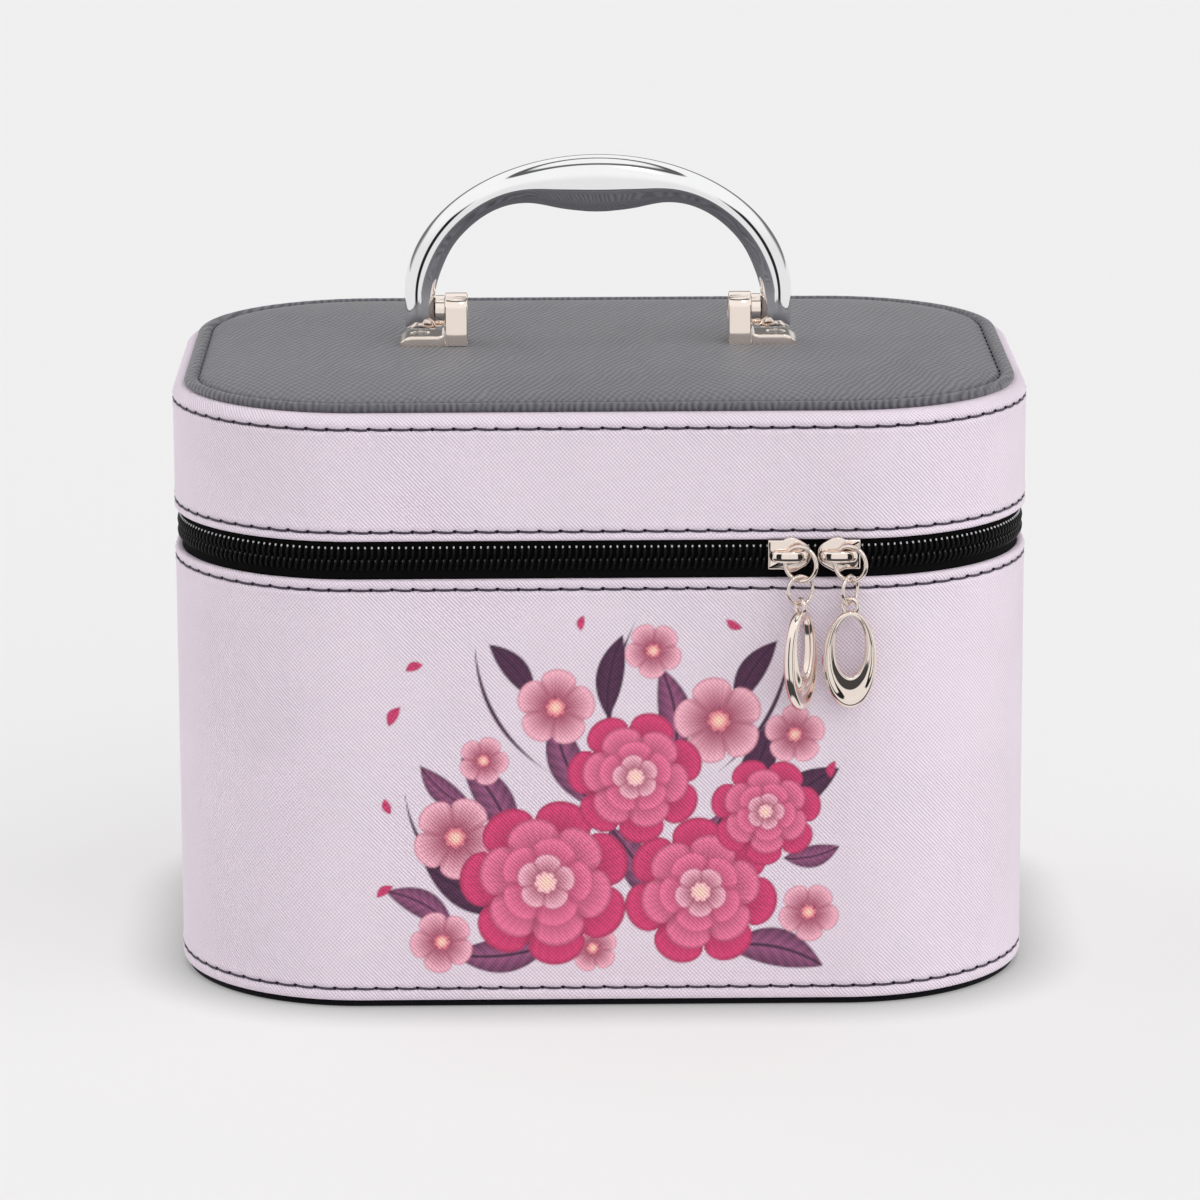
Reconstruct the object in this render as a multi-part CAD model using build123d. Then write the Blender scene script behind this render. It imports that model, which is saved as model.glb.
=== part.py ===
"""Zip-around vanity case with a padded lid, a folding carrying handle and two linked zip pulls.

Millimetres, +Z up, the front faces -Y and +X is to the right of the front.
The origin is the middle of the face that the case stands on.
"""

import os
from math import cos, hypot, radians, sin

from build123d import *

# Plan and heights of the case
CASE_W = 240.0
CASE_D = 176.0
CORNER_R = 53.0
BODY_H = 120.8
ZIP_GAP = 10.2
LID_H = 35.3

# Sheets and boards
WRAP_T = 1.2
HEM_T = 2.2
HEM_H = 8.0
TURN_IN = 11.0
BOARD_T = 2.7
BASE_BOARD_T = 2.0
TOP_BOARD_T = 2.3
LINING_T = 0.9
BASE_COVER_T = 2.0
BASE_COVER_INSET = 1.4
BASE_EDGE_R = 0.6
RIM_EDGE_R = 0.9
FOOT_EDGE_R = 1.0
LID_EDGE_R = 3.0

# Zip
TAPE_T = 0.6
ZIP_SLIT = 1.0
COIL_H = 3.0
COIL_INSET = 0.2
COIL_EDGE_R = 0.8
ZIP_END_X = 56.0

# Hinge strip at the back
STRIP_W = 122.0
STRIP_H = 36.0
STRIP_T = 1.0
STRIP_CORNER_R = 5.0

# Padded lid top, as inset from the case edge and height above the lid wrap
PAD_BEAD = ((3.8, 0.0), (3.3, 0.9), (3.8, 1.8), (5.1, 2.3), (6.5, 1.9), (7.4, 1.3))
PAD_CROWN = ((8.6, 1.9), (12.0, 2.6), (19.0, 3.2), (30.0, 3.6), (44.0, 3.8))
PAD_SKIN = 1.0

# Mirror in the lid
MIRROR_W = 148.0
MIRROR_D = 94.0
MIRROR_T = 2.0
MIRROR_R = 10.0
FRAME_BORDER = 6.0
FRAME_LIP = 3.0
FRAME_LIP_T = 1.2
GLASS_CLEAR = 0.2

# Handle
HANDLE_W = 110.8
HANDLE_H = 54.4
PIVOT_H = 9.4
LEG_RISE = 5.2
LEG_T = 8.8
LEG_D = 10.6
ARCH_ANGLES = (16, 34, 52, 66, 78)
ARCH_SECTIONS = ((9.8, 10.8), (9.0, 11.0), (8.8, 11.2), (10.6, 11.8), (13.8, 12.4))
GRIP_T = 16.0
GRIP_D = 12.8
CROWN_SHARE = 0.58
UNDERSIDE_SHARE = 0.5
UNDERSIDE_BREAK = 0.12

# Handle brackets, pins and fixings
LUG_L = 6.6
LUG_R = 5.2
BRACKET_L = 19.6
BRACKET_D = 12.0
TONGUE_T = 3.0
TIP_T = 1.3
TIP_SLOPE_L = 3.4
TIP_CORNER_R = 2.0
LUG_FILLET = 1.8
PIN_R = 1.7
PIN_DEPTH = 6.0
PIN_DISH_R = 3.1
PIN_DISH_DEPTH = 0.8
WASHER_R = 4.5
WASHER_T = 2.5
SIDE_PLAY = 0.1
RUN_CLEAR = 0.05
SCREW_R = 1.4
SCREW_HEAD_R = 2.6
SCREW_HEAD_H = 1.4
SCREW_SINK = 0.3
SCREW_CLEAR = 0.1
DRIVE_W = 0.7
DRIVE_DEPTH = 0.7
LUG_SCREW_DEPTH = 5.0
PLATE_T = 1.2
PLATE_BORDER = 0.4
PLATE_CLEAR = 0.2

# Zip sliders
SLIDER_SPACING = 13.6
SLIDER_PARK = 2.1
SLIDER_RISE = 1.1
SLIDER_OUTLINE = ((-5.9, 4.1), (-1.7, 4.1), (-0.3, 4.9), (1.3, 4.9), (4.9, 2.9), (5.9, 1.5))
SLIDER_T = 1.2
SLIDER_CLEAR = 0.3
SLIDER_EDGE_R = 0.4
WEB_T = 0.6
WEB_L = 4.0
WEB_NOSE_GAP = 0.8
INNER_PLATE_L = 9.0
INNER_PLATE_H = 7.6
INNER_PLATE_T = 1.0
INNER_PLATE_CLEAR = 0.45
BRIDGE_L = 11.0
BRIDGE_W = 2.8
BRIDGE_H = 4.0
BRIDGE_BAR_T = 1.4
BRIDGE_FOOT_L = 1.5
BRIDGE_SHOULDER = 1.5
BRIDGE_EDGE_R = 0.9

# Linked pulls
PULL_RING_R = 4.8
PULL_WIRE_R = 0.6
PULL_RING_TURN = 30.0
PULL_RING_SHIFT = 2.9
PULL_RING_DROP = 1.8
PULL_WIRE_GAP = 0.5
JUMP_RING_R = 3.9
JUMP_WIRE_R = 0.5
LINK_GAP = 0.3
EYE_R = 2.1
EYE_WIRE_R = 0.65
LOOP_W = 15.0
LOOP_H = 27.6
LOOP_T = 3.2
LOOP_EDGE_R = 1.2
LOOP_HOLE_W = 8.2
LOOP_HOLE_H = 16.6
LOOP_HOLE_RAISE = 3.7
LOOP_HOLE_EDGE_R = 0.5
LOOP_SEAT = 1.0
PULLS = {
    "left": {"nose": 1, "jump_turn": -28.0, "eye_turn": 60.0, "loop_turn": -58.0, "lean": 6.5},
    "right": {"nose": -1, "jump_turn": -56.0, "eye_turn": 16.0, "loop_turn": -5.0, "lean": 1.5},
}

# Levels and insets that follow from the sizes above
FRONT_Y = -CASE_D / 2
BODY_Z0 = BASE_COVER_T
BODY_Z1 = BODY_Z0 + BODY_H
LID_Z0 = BODY_Z1 + ZIP_GAP
LID_Z1 = LID_Z0 + LID_H
ZIP_MID = (BODY_Z1 + LID_Z0) / 2
TAPE_IN = HEM_T + TAPE_T
BOARD_IN = WRAP_T + BOARD_T
LINING_IN = BOARD_IN + LINING_T
FLOOR_Z = BODY_Z0 + WRAP_T + BASE_BOARD_T
CEILING_Z = LID_Z1 - WRAP_T - TOP_BOARD_T
LID_TOP = LID_Z1 + PAD_CROWN[-1][1]
PIVOT_Z = LID_TOP + PIVOT_H
ARCH_Z = PIVOT_Z + LEG_RISE
LEG_INNER_X = HANDLE_W / 2 - LEG_T
LUG_OUTER_X = LEG_INNER_X - WASHER_T - 2 * SIDE_PLAY
LUG_INNER_X = LUG_OUTER_X - LUG_L
TIP_X = LUG_INNER_X + BRACKET_L
TONGUE_SCREW_X = HANDLE_W / 2 - LEG_T / 2
LUG_SCREW_X = LUG_INNER_X + LUG_L / 2
RIGHT_SLIDER_X = CASE_W / 2 - CORNER_R - SLIDER_PARK
SLIDER_X = {"left": RIGHT_SLIDER_X - SLIDER_SPACING, "right": RIGHT_SLIDER_X}
SLIDER_Z = ZIP_MID + SLIDER_RISE
SLIDER_IN_Y = FRONT_Y + COIL_INSET - SLIDER_CLEAR
SLIDER_OUT_Y = SLIDER_IN_Y - SLIDER_T


# Plan shapes
def outline(inset):
    """Plan outline of the case, drawn in by an inset."""
    return RectangleRounded(CASE_W - 2 * inset, CASE_D - 2 * inset, CORNER_R - inset)


def slab(inset, z0, z1):
    """Upright slab with the plan outline between two levels."""
    return extrude(Pos(0, 0, z0) * outline(inset), z1 - z0)


def soft_slab(inset, z0, z1, top_r=0.0, foot_r=0.0):
    """Slab with its upper and lower edges rounded."""
    block = slab(inset, z0, z1)
    if top_r:
        block = fillet(block.faces().sort_by(Axis.Z)[-1].edges(), top_r)
    if foot_r:
        block = fillet(block.faces().sort_by(Axis.Z)[0].edges(), foot_r)
    return block


def wall(outer, inner, z0, z1):
    """Wall that follows the plan outline between two insets."""
    return slab(outer, z0, z1) - slab(inner, z0, z1)


def both_sides(shape):
    """The shape with its mirror image on the left of the case."""
    return Compound([*shape.solids(), *mirror(shape, about=Plane.YZ).solids()])


# Case body
def make_body_wrap():
    """Outer cover with a folded hem at the rim and an edge turned in under the base."""
    cover = soft_slab(0, BODY_Z0, BODY_Z1, RIM_EDGE_R, FOOT_EDGE_R)
    cover -= slab(WRAP_T, BODY_Z0 + WRAP_T, BODY_Z1 - HEM_H)
    cover -= slab(HEM_T, BODY_Z1 - HEM_H, BODY_Z1)
    return cover - slab(TURN_IN, BODY_Z0, BODY_Z0 + WRAP_T)


def make_base_board():
    """Base board with a step for the turned-in edge of the cover."""
    step = slab(TURN_IN, BODY_Z0, BODY_Z0 + WRAP_T)
    return step + slab(WRAP_T, BODY_Z0 + WRAP_T, FLOOR_Z)


def make_body_board():
    """Wall board, thinned along the rim where the zip tape lies against it."""
    thin_z = BODY_Z1 - HEM_H
    low = wall(WRAP_T, BOARD_IN, FLOOR_Z, thin_z)
    return low + wall(TAPE_IN, BOARD_IN, thin_z, BODY_Z1 - LINING_T)


def make_body_lining():
    """Lining of the floor and walls, turned out over the board's rim."""
    cup = slab(BOARD_IN, FLOOR_Z, BODY_Z1 - LINING_T)
    cup -= slab(LINING_IN, FLOOR_Z + LINING_T, BODY_Z1)
    return cup + wall(TAPE_IN, LINING_IN, BODY_Z1 - LINING_T, BODY_Z1)


def make_base_cover():
    """Dark cover glued under the base."""
    return soft_slab(BASE_COVER_INSET, 0, BASE_COVER_T, 0, BASE_EDGE_R)


# Zip
def open_at_back(shape):
    """The shape with the length behind the hinge strip taken out."""
    return shape - Pos(0, CASE_D / 2, ZIP_MID) * Box(2 * ZIP_END_X, CASE_D, CASE_W)


def make_tape(upper):
    """One woven tape, sewn behind the hem and reaching to the slit."""
    if upper:
        return open_at_back(wall(HEM_T, TAPE_IN, ZIP_MID + ZIP_SLIT / 2, LID_Z0 + HEM_H))
    return open_at_back(wall(HEM_T, TAPE_IN, BODY_Z1 - HEM_H, ZIP_MID - ZIP_SLIT / 2))


def make_coil(upper):
    """One row of the coil as a rounded strip on the tape."""
    z0 = ZIP_MID + ZIP_SLIT / 2 if upper else ZIP_MID - ZIP_SLIT / 2 - COIL_H
    strip = soft_slab(COIL_INSET, z0, z0 + COIL_H, COIL_EDGE_R, COIL_EDGE_R)
    return open_at_back(strip - slab(HEM_T, z0, z0 + COIL_H))


def make_hinge_strip():
    """Strip sewn over the gap at the back, on which the lid turns."""
    face = Plane.XZ.offset(-CASE_D / 2) * Pos(0, ZIP_MID) * RectangleRounded(STRIP_W, STRIP_H, STRIP_CORNER_R)
    return extrude(face, -STRIP_T)


# Lid
def make_lid_wrap():
    """Lid cover with a folded hem at the rim and a round edge turned in over the top."""
    cover = soft_slab(0, LID_Z0, LID_Z1, LID_EDGE_R, RIM_EDGE_R)
    cover -= soft_slab(WRAP_T, LID_Z0 + HEM_H, LID_Z1 - WRAP_T, LID_EDGE_R - WRAP_T)
    cover -= slab(HEM_T, LID_Z0, LID_Z0 + HEM_H)
    return cover - slab(TURN_IN, LID_Z1 - WRAP_T, LID_Z1)


def make_lid_board():
    """Wall board of the lid, thinned along the rim for the zip tape."""
    thin_z = LID_Z0 + HEM_H
    low = wall(TAPE_IN, BOARD_IN, LID_Z0 + LINING_T, thin_z)
    return low + wall(WRAP_T, BOARD_IN, thin_z, CEILING_Z)


def make_top_board():
    """Top board with a step for the turned-in cover, pockets for the plates and screw holes."""
    board = soft_slab(WRAP_T, CEILING_Z, LID_Z1 - WRAP_T, LID_EDGE_R - WRAP_T)
    board += slab(TURN_IN, LID_Z1 - WRAP_T, LID_Z1)
    pocket = plate_blank(PLATE_T + PLATE_CLEAR, PLATE_CLEAR)
    return drill(board - both_sides(pocket))


def pad_block(profile):
    """Block with the plan outline through a profile of insets and heights on the lid wrap."""
    return loft([Pos(0, 0, LID_Z1 + height) * outline(inset) for inset, height in profile], ruled=True)


def foam_block():
    """Foam under the crown of the lid top, one skin thickness inside it."""
    crown = [(inset + PAD_SKIN, height - PAD_SKIN) for inset, height in PAD_CROWN]
    return pad_block([(crown[0][0], 0.0), *crown])


def make_lid_top_cover():
    """Padded top cover: rolled bead at the edge, sewn channel and low crown."""
    return drill(pad_block([*PAD_BEAD, *PAD_CROWN]) - foam_block())


def make_lid_foam():
    """Foam sheet under the top cover."""
    return drill(foam_block())


def make_lid_lining():
    """Lining of the lid's walls and ceiling, turned out over the board's rim."""
    cup = slab(BOARD_IN, LID_Z0 + LINING_T, CEILING_Z)
    cup -= slab(LINING_IN, LID_Z0, CEILING_Z - LINING_T)
    return cup + wall(TAPE_IN, LINING_IN, LID_Z0, LID_Z0 + LINING_T)


def mirror_slab(border, z0, z1):
    """Rounded plate with the mirror's plan and a border, between two levels."""
    plan = RectangleRounded(MIRROR_W + 2 * border, MIRROR_D + 2 * border, MIRROR_R + border)
    return extrude(Pos(0, 0, z0) * plan, z1 - z0)


def make_mirror():
    """Mirror glass against the ceiling lining."""
    top = CEILING_Z - LINING_T
    return mirror_slab(0, top - MIRROR_T, top)


def make_mirror_frame():
    """Frame whose lip holds the glass."""
    top = CEILING_Z - LINING_T
    low = top - MIRROR_T - GLASS_CLEAR - FRAME_LIP_T
    frame = mirror_slab(FRAME_BORDER, low, top)
    frame -= mirror_slab(GLASS_CLEAR, low + FRAME_LIP_T, top)
    return frame - mirror_slab(-FRAME_LIP, low, top)


# Handle and its brackets
def x_cylinder(radius, x0, x1):
    """Cylinder on the handle's turning axis between two stations."""
    return extrude(Plane.YZ.offset(x0) * Pos(0, PIVOT_Z) * Circle(radius), x1 - x0)


def z_cylinder(radius, x, z0, z1):
    """Upright cylinder on the middle line of the case."""
    return extrude(Pos(x, 0, z0) * Circle(radius), z1 - z0)


def drill(shape):
    """The shape with the clearance holes of all four bracket screws."""
    for x in (TONGUE_SCREW_X, LUG_SCREW_X):
        shape -= both_sides(z_cylinder(SCREW_R + SCREW_CLEAR, x, CEILING_Z, LID_TOP))
    return shape


def lug_profile(radius):
    """Upright lug with a round head about the turning axis."""
    return Pos(0, PIVOT_H / 2) * Rectangle(2 * radius, PIVOT_H) + Pos(0, PIVOT_H) * Circle(radius)


def make_bracket():
    """Right bracket: lug with the pin bore, and a sloped tongue under the handle's end."""
    side = make_face(
        Polyline(
            (LUG_INNER_X, 0),
            (TIP_X, 0),
            (TIP_X, TIP_T),
            (TIP_X - TIP_SLOPE_L, TONGUE_T),
            (LUG_INNER_X, TONGUE_T),
            close=True,
        )
    )
    bracket = extrude(Plane.XZ * side, BRACKET_D / 2, both=True)
    tip_edges = bracket.faces().sort_by(Axis.X)[-1].edges().filter_by(Axis.Z)
    bracket = fillet(tip_edges, TIP_CORNER_R)
    bracket += extrude(Plane.YZ.offset(LUG_INNER_X) * lug_profile(LUG_R), LUG_L)
    corner = bracket.edges().filter_by(lambda edge: is_lug_corner(edge.center()))
    bracket = Pos(0, 0, LID_TOP) * fillet(corner, LUG_FILLET)
    bracket -= x_cylinder(PIN_DISH_R, LUG_INNER_X, LUG_INNER_X + PIN_DISH_DEPTH)
    bracket -= x_cylinder(PIN_R, LUG_INNER_X, LUG_OUTER_X)
    bracket -= tongue_screw(SCREW_CLEAR)
    blind_end = LID_TOP + LUG_SCREW_DEPTH + SCREW_CLEAR
    return bracket - z_cylinder(SCREW_R + RUN_CLEAR, LUG_SCREW_X, LID_TOP, blind_end)


def is_lug_corner(point):
    """Whether a point lies on the inside corner between lug and tongue."""
    return hypot(point.X - LUG_OUTER_X, point.Z - TONGUE_T) < RUN_CLEAR


def tongue_screw(grow):
    """Sunk-head screw down through the tongue, grown by a clearance for its hole."""
    head_z = LID_TOP + TONGUE_T - SCREW_SINK
    cone_z = head_z - SCREW_HEAD_H
    head = Cone(SCREW_R + grow, SCREW_HEAD_R + grow, SCREW_HEAD_H)
    screw = Pos(TONGUE_SCREW_X, 0, cone_z + SCREW_HEAD_H / 2) * head
    screw += z_cylinder(SCREW_R + grow, TONGUE_SCREW_X, CEILING_Z, cone_z)
    if grow:
        return screw + z_cylinder(SCREW_HEAD_R + grow, TONGUE_SCREW_X, head_z, LID_TOP + TONGUE_T)
    slot = Box(2 * SCREW_R, DRIVE_W, 2 * DRIVE_DEPTH) + Box(DRIVE_W, 2 * SCREW_R, 2 * DRIVE_DEPTH)
    return screw - Pos(TONGUE_SCREW_X, 0, head_z) * slot


def lug_screw():
    """Screw up through the plate into the lug, its head flush with the plate."""
    head = Cone(SCREW_HEAD_R, SCREW_R, PLATE_T)
    screw = Pos(LUG_SCREW_X, 0, CEILING_Z + PLATE_T / 2) * head
    return screw + z_cylinder(SCREW_R, LUG_SCREW_X, CEILING_Z, LID_TOP + LUG_SCREW_DEPTH)


def plate_blank(thickness, grow):
    """Plate in the ceiling board under a bracket, grown by a clearance for its pocket."""
    length = BRACKET_L - 2 * PLATE_BORDER + 2 * grow
    depth = BRACKET_D - 2 * PLATE_BORDER + 2 * grow
    middle = (LUG_INNER_X + TIP_X) / 2
    return Pos(middle, 0, CEILING_Z + thickness / 2) * Box(length, depth, thickness)


def make_plate():
    """Right backing plate with one sunk and one plain screw hole."""
    plate = plate_blank(PLATE_T, 0)
    plate -= z_cylinder(SCREW_R + RUN_CLEAR, TONGUE_SCREW_X, CEILING_Z, CEILING_Z + PLATE_T)
    sink = Cone(SCREW_HEAD_R + RUN_CLEAR, SCREW_R + RUN_CLEAR, PLATE_T)
    return plate - Pos(LUG_SCREW_X, 0, CEILING_Z + PLATE_T / 2) * sink


def make_pin():
    """Right turning pin, pressed into the lug and reaching into the handle's leg."""
    return x_cylinder(PIN_R, LUG_INNER_X + PIN_DISH_DEPTH, LEG_INNER_X + PIN_DEPTH)


def make_washer():
    """Right spacer washer between the lug and the handle's leg."""
    x0 = LUG_OUTER_X + SIDE_PLAY
    x1 = x0 + WASHER_T
    return x_cylinder(WASHER_R, x0, x1) - x_cylinder(PIN_R + RUN_CLEAR, x0, x1)


def handle_section(angle, thickness, depth):
    """Section of the handle, square to its outer curve at an angle: crowned outside, tapered inside."""
    rise = HANDLE_H - PIVOT_H - LEG_RISE
    half = HANDLE_W / 2
    c, s = cos(radians(angle)), sin(radians(angle))
    length = hypot(rise * c, half * s)
    normal = (rise * c / length, half * s / length)
    x = half * c - normal[0] * thickness / 2
    z = ARCH_Z + rise * s - normal[1] * thickness / 2
    plane = Plane(origin=(x, 0, z), x_dir=(0, 1, 0), z_dir=(-normal[1], 0, normal[0]))
    half_d, half_t = depth / 2, thickness / 2
    broad = CROWN_SHARE * thickness - half_t
    flat = UNDERSIDE_SHARE * half_d
    cut = UNDERSIDE_BREAK * thickness
    under = Polyline((half_d, broad), (flat + cut / 2, half_t - cut), (flat - cut / 2, half_t), (0, half_t))
    crown = EllipticalCenterArc((0, broad), half_d, CROWN_SHARE * thickness, 180, arc_size=180)
    return plane * make_face([crown, under, mirror(under, about=Plane.YZ)])


def leg_end():
    """Right end of the handle, round about the turning axis, with a blind bore for the pin."""
    foot = extrude(handle_section(0, LEG_T, LEG_D), -(LEG_RISE + LEG_D / 2))
    middle = (LEG_INNER_X + HANDLE_W / 2) / 2
    above = Pos(middle, 0, PIVOT_Z + LEG_D / 2) * Box(2 * LEG_T, LEG_D, LEG_D)
    foot &= above + x_cylinder(LEG_D / 2, LEG_INNER_X - LEG_T, HANDLE_W / 2 + LEG_T)
    return foot - x_cylinder(PIN_R + RUN_CLEAR, LEG_INNER_X, LEG_INNER_X + PIN_DEPTH + SIDE_PLAY)


def make_handle():
    """Arched handle with a full grip in the middle and slimmer shoulders."""
    half = [(0, LEG_T, LEG_D)]
    half += [(angle, *section) for angle, section in zip(ARCH_ANGLES, ARCH_SECTIONS)]
    far = [(180 - angle, thickness, depth) for angle, thickness, depth in reversed(half)]
    stations = [*half, (90, GRIP_T, GRIP_D), *far]
    arch = loft([handle_section(*station) for station in stations])
    return arch + leg_end() + mirror(leg_end(), about=Plane.YZ)


# Zip sliders and pulls
def make_slider():
    """Slider with its nose to +X: face plate, web through the slit and inner plate."""
    upper = list(SLIDER_OUTLINE)
    lower = [(x, -z) for x, z in reversed(upper)]
    face = Plane.XZ.offset(-SLIDER_IN_Y) * Pos(0, SLIDER_Z) * make_face(Polyline(*upper, *lower, close=True))
    slider = extrude(face, SLIDER_T)
    slider = fillet(slider.faces().sort_by(Axis.Y)[0].edges(), SLIDER_EDGE_R)
    inner_y = FRONT_Y + TAPE_IN + INNER_PLATE_CLEAR
    web_x = upper[-1][0] - WEB_NOSE_GAP - WEB_L / 2
    web_y = (SLIDER_IN_Y + inner_y) / 2
    slider += Pos(web_x, web_y, ZIP_MID) * Box(WEB_L, inner_y - SLIDER_IN_Y, WEB_T)
    inner = Box(INNER_PLATE_L, INNER_PLATE_T, INNER_PLATE_H)
    return slider + Pos(0, inner_y + INNER_PLATE_T / 2, ZIP_MID) * inner


def make_bridge():
    """Bridge on the slider's face, under which the pull ring passes."""
    half = BRIDGE_L / 2
    inner = half - BRIDGE_FOOT_L
    under = BRIDGE_H - BRIDGE_BAR_T
    right = (
        (half - BRIDGE_SHOULDER, BRIDGE_H),
        (half, BRIDGE_H - BRIDGE_SHOULDER),
        (half, 0),
        (inner, 0),
        (inner, under),
    )
    left = [(-x, height) for x, height in reversed(right)]
    plane = Plane(origin=(0, SLIDER_OUT_Y, SLIDER_Z), x_dir=(1, 0, 0), z_dir=(0, 0, -1))
    bridge = extrude(plane * make_face(Polyline(*right, *left, close=True)), BRIDGE_W / 2, both=True)
    return fillet(bridge.faces().sort_by(Axis.Y)[0].edges(), BRIDGE_EDGE_R)


def upright_plane(x, y, z, turn):
    """Upright plane whose level direction turns outwards from +X by an angle."""
    normal = (sin(radians(turn)), cos(radians(turn)), 0)
    return Plane(origin=(x, y, z), x_dir=(-cos(radians(turn)), sin(radians(turn)), 0), z_dir=normal)


def pull_ring_centre(side):
    """Centre of the pull ring that loops round the bridge's bar."""
    reach = PULL_RING_R * sin(radians(PULL_RING_TURN))
    y = SLIDER_OUT_Y - PULL_WIRE_GAP - PULL_WIRE_R - reach
    return SLIDER_X[side] + PULL_RING_SHIFT, y, SLIDER_Z - PULL_RING_DROP


def make_pull_ring(side):
    """Ring round the bridge's bar."""
    return upright_plane(*pull_ring_centre(side), PULL_RING_TURN) * Torus(PULL_RING_R, PULL_WIRE_R)


def lean_out(shape, side):
    """The shape leaned away from the front about the foot of the pull ring."""
    x, y, z = pull_ring_centre(side)
    foot = Pos(x, y, z - PULL_RING_R)
    return foot * Rot(-PULLS[side]["lean"], 0, 0) * foot.inverse() * shape


def jump_ring_drop():
    """Height from the pull ring's centre down to the jump ring's centre."""
    return PULL_RING_R + JUMP_RING_R - PULL_WIRE_R - JUMP_WIRE_R - LINK_GAP


def make_jump_ring(side):
    """Small ring that hangs in the pull ring."""
    x, y, z = pull_ring_centre(side)
    plane = upright_plane(x, y, z - jump_ring_drop(), PULLS[side]["jump_turn"])
    return lean_out(plane * Torus(JUMP_RING_R, JUMP_WIRE_R), side)


def loop_blank():
    """Oval pull loop in its own plane, hanging below the origin."""
    middle = -LOOP_SEAT - LOOP_H / 2
    oval = extrude(Pos(0, middle) * Ellipse(LOOP_W / 2, LOOP_H / 2), LOOP_T / 2, both=True)
    oval = fillet(oval.edges(), LOOP_EDGE_R)
    raised = Pos(0, middle + LOOP_HOLE_RAISE) * Ellipse(LOOP_HOLE_W / 2, LOOP_HOLE_H / 2)
    holed = oval - extrude(raised, LOOP_T / 2, both=True)
    rims = new_edges(oval, combined=holed).filter_by(GeomType.LINE, reverse=True)
    return fillet(rims, LOOP_HOLE_EDGE_R)


def make_pull_loop(side):
    """Oval pull with an off-centre hole, hanging by its eye from the jump ring."""
    x, y, z = pull_ring_centre(side)
    eye_drop = JUMP_RING_R + EYE_R - EYE_WIRE_R - JUMP_WIRE_R - LINK_GAP
    eye = (x, y, z - jump_ring_drop() - eye_drop)
    oval = upright_plane(*eye, PULLS[side]["loop_turn"]) * loop_blank()
    round_eye = upright_plane(*eye, PULLS[side]["eye_turn"])
    oval -= extrude(round_eye * Circle(EYE_R), LOOP_T, both=True)
    return lean_out(oval + round_eye * Torus(EYE_R, EYE_WIRE_R), side)


def place_slider(shape, side):
    """A slider piece moved to its place on the front, nose towards the other slider."""
    if PULLS[side]["nose"] < 0:
        shape = mirror(shape, about=Plane.YZ)
    return Pos(SLIDER_X[side], 0, 0) * shape


def make_parts():
    """All pieces of the case by node name."""
    parts = {
        "body_wrap": make_body_wrap(),
        "body_wall_board": make_body_board(),
        "base_board": make_base_board(),
        "base_cover": make_base_cover(),
        "body_lining": make_body_lining(),
        "zip_tape_lower": make_tape(False),
        "zip_coil_lower": make_coil(False),
        "hinge_strip": make_hinge_strip(),
        "lid_wrap": make_lid_wrap(),
        "lid_wall_board": make_lid_board(),
        "lid_top_board": make_top_board(),
        "lid_foam": make_lid_foam(),
        "lid_top_cover": make_lid_top_cover(),
        "lid_lining": make_lid_lining(),
        "mirror_glass": make_mirror(),
        "mirror_frame": make_mirror_frame(),
        "zip_tape_upper": make_tape(True),
        "zip_coil_upper": make_coil(True),
        "bracket_tongue_screws": both_sides(tongue_screw(0)),
        "bracket_lug_screws": both_sides(lug_screw()),
        "handle_arch": make_handle(),
    }
    paired = {
        "handle_bracket": make_bracket(),
        "backing_plate": make_plate(),
        "handle_pin": make_pin(),
        "handle_washer": make_washer(),
    }
    for name, shape in paired.items():
        parts[f"{name}_right"] = shape
        parts[f"{name}_left"] = mirror(shape, about=Plane.YZ)
    for side in PULLS:
        parts[f"slider_{side}"] = place_slider(make_slider(), side)
        parts[f"slider_bridge_{side}"] = place_slider(make_bridge(), side)
        parts[f"pull_ring_{side}"] = make_pull_ring(side)
        parts[f"jump_ring_{side}"] = make_jump_ring(side)
        parts[f"pull_loop_{side}"] = make_pull_loop(side)
    return parts


def main():
    """Write one file for each piece."""
    os.makedirs("parts", exist_ok=True)
    for name, shape in make_parts().items():
        export_step(shape, f"parts/{name}.step")


main()
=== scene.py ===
"""Looks of a zip-around vanity case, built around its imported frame.

Blender works in metres with +Z up and the front towards -Y. Sizes in the classes are in millimetres.
"""

import logging
import math
from dataclasses import dataclass, field
from enum import Enum
from typing import Optional

import bmesh
import bpy
import numpy as np
from mathutils import Matrix, Vector, noise


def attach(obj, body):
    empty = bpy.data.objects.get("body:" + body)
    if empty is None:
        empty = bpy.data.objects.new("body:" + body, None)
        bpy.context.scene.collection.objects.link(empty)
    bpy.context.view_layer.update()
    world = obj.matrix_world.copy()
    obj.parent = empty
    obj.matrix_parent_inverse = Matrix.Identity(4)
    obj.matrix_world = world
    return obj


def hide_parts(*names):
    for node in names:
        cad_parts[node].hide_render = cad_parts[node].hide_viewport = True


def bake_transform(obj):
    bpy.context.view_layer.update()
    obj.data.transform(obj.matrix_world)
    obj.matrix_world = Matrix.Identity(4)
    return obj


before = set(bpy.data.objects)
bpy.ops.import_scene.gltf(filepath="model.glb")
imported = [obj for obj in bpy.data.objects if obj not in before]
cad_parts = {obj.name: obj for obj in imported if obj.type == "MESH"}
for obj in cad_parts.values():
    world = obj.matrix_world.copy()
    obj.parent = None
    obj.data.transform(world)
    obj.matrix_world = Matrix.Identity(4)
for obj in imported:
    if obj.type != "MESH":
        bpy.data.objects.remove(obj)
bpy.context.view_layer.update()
MM = 0.001
LOG = logging.getLogger("vanity_case")

Point = tuple[float, float]
Colour = tuple[float, float, float]
Value = object


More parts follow.
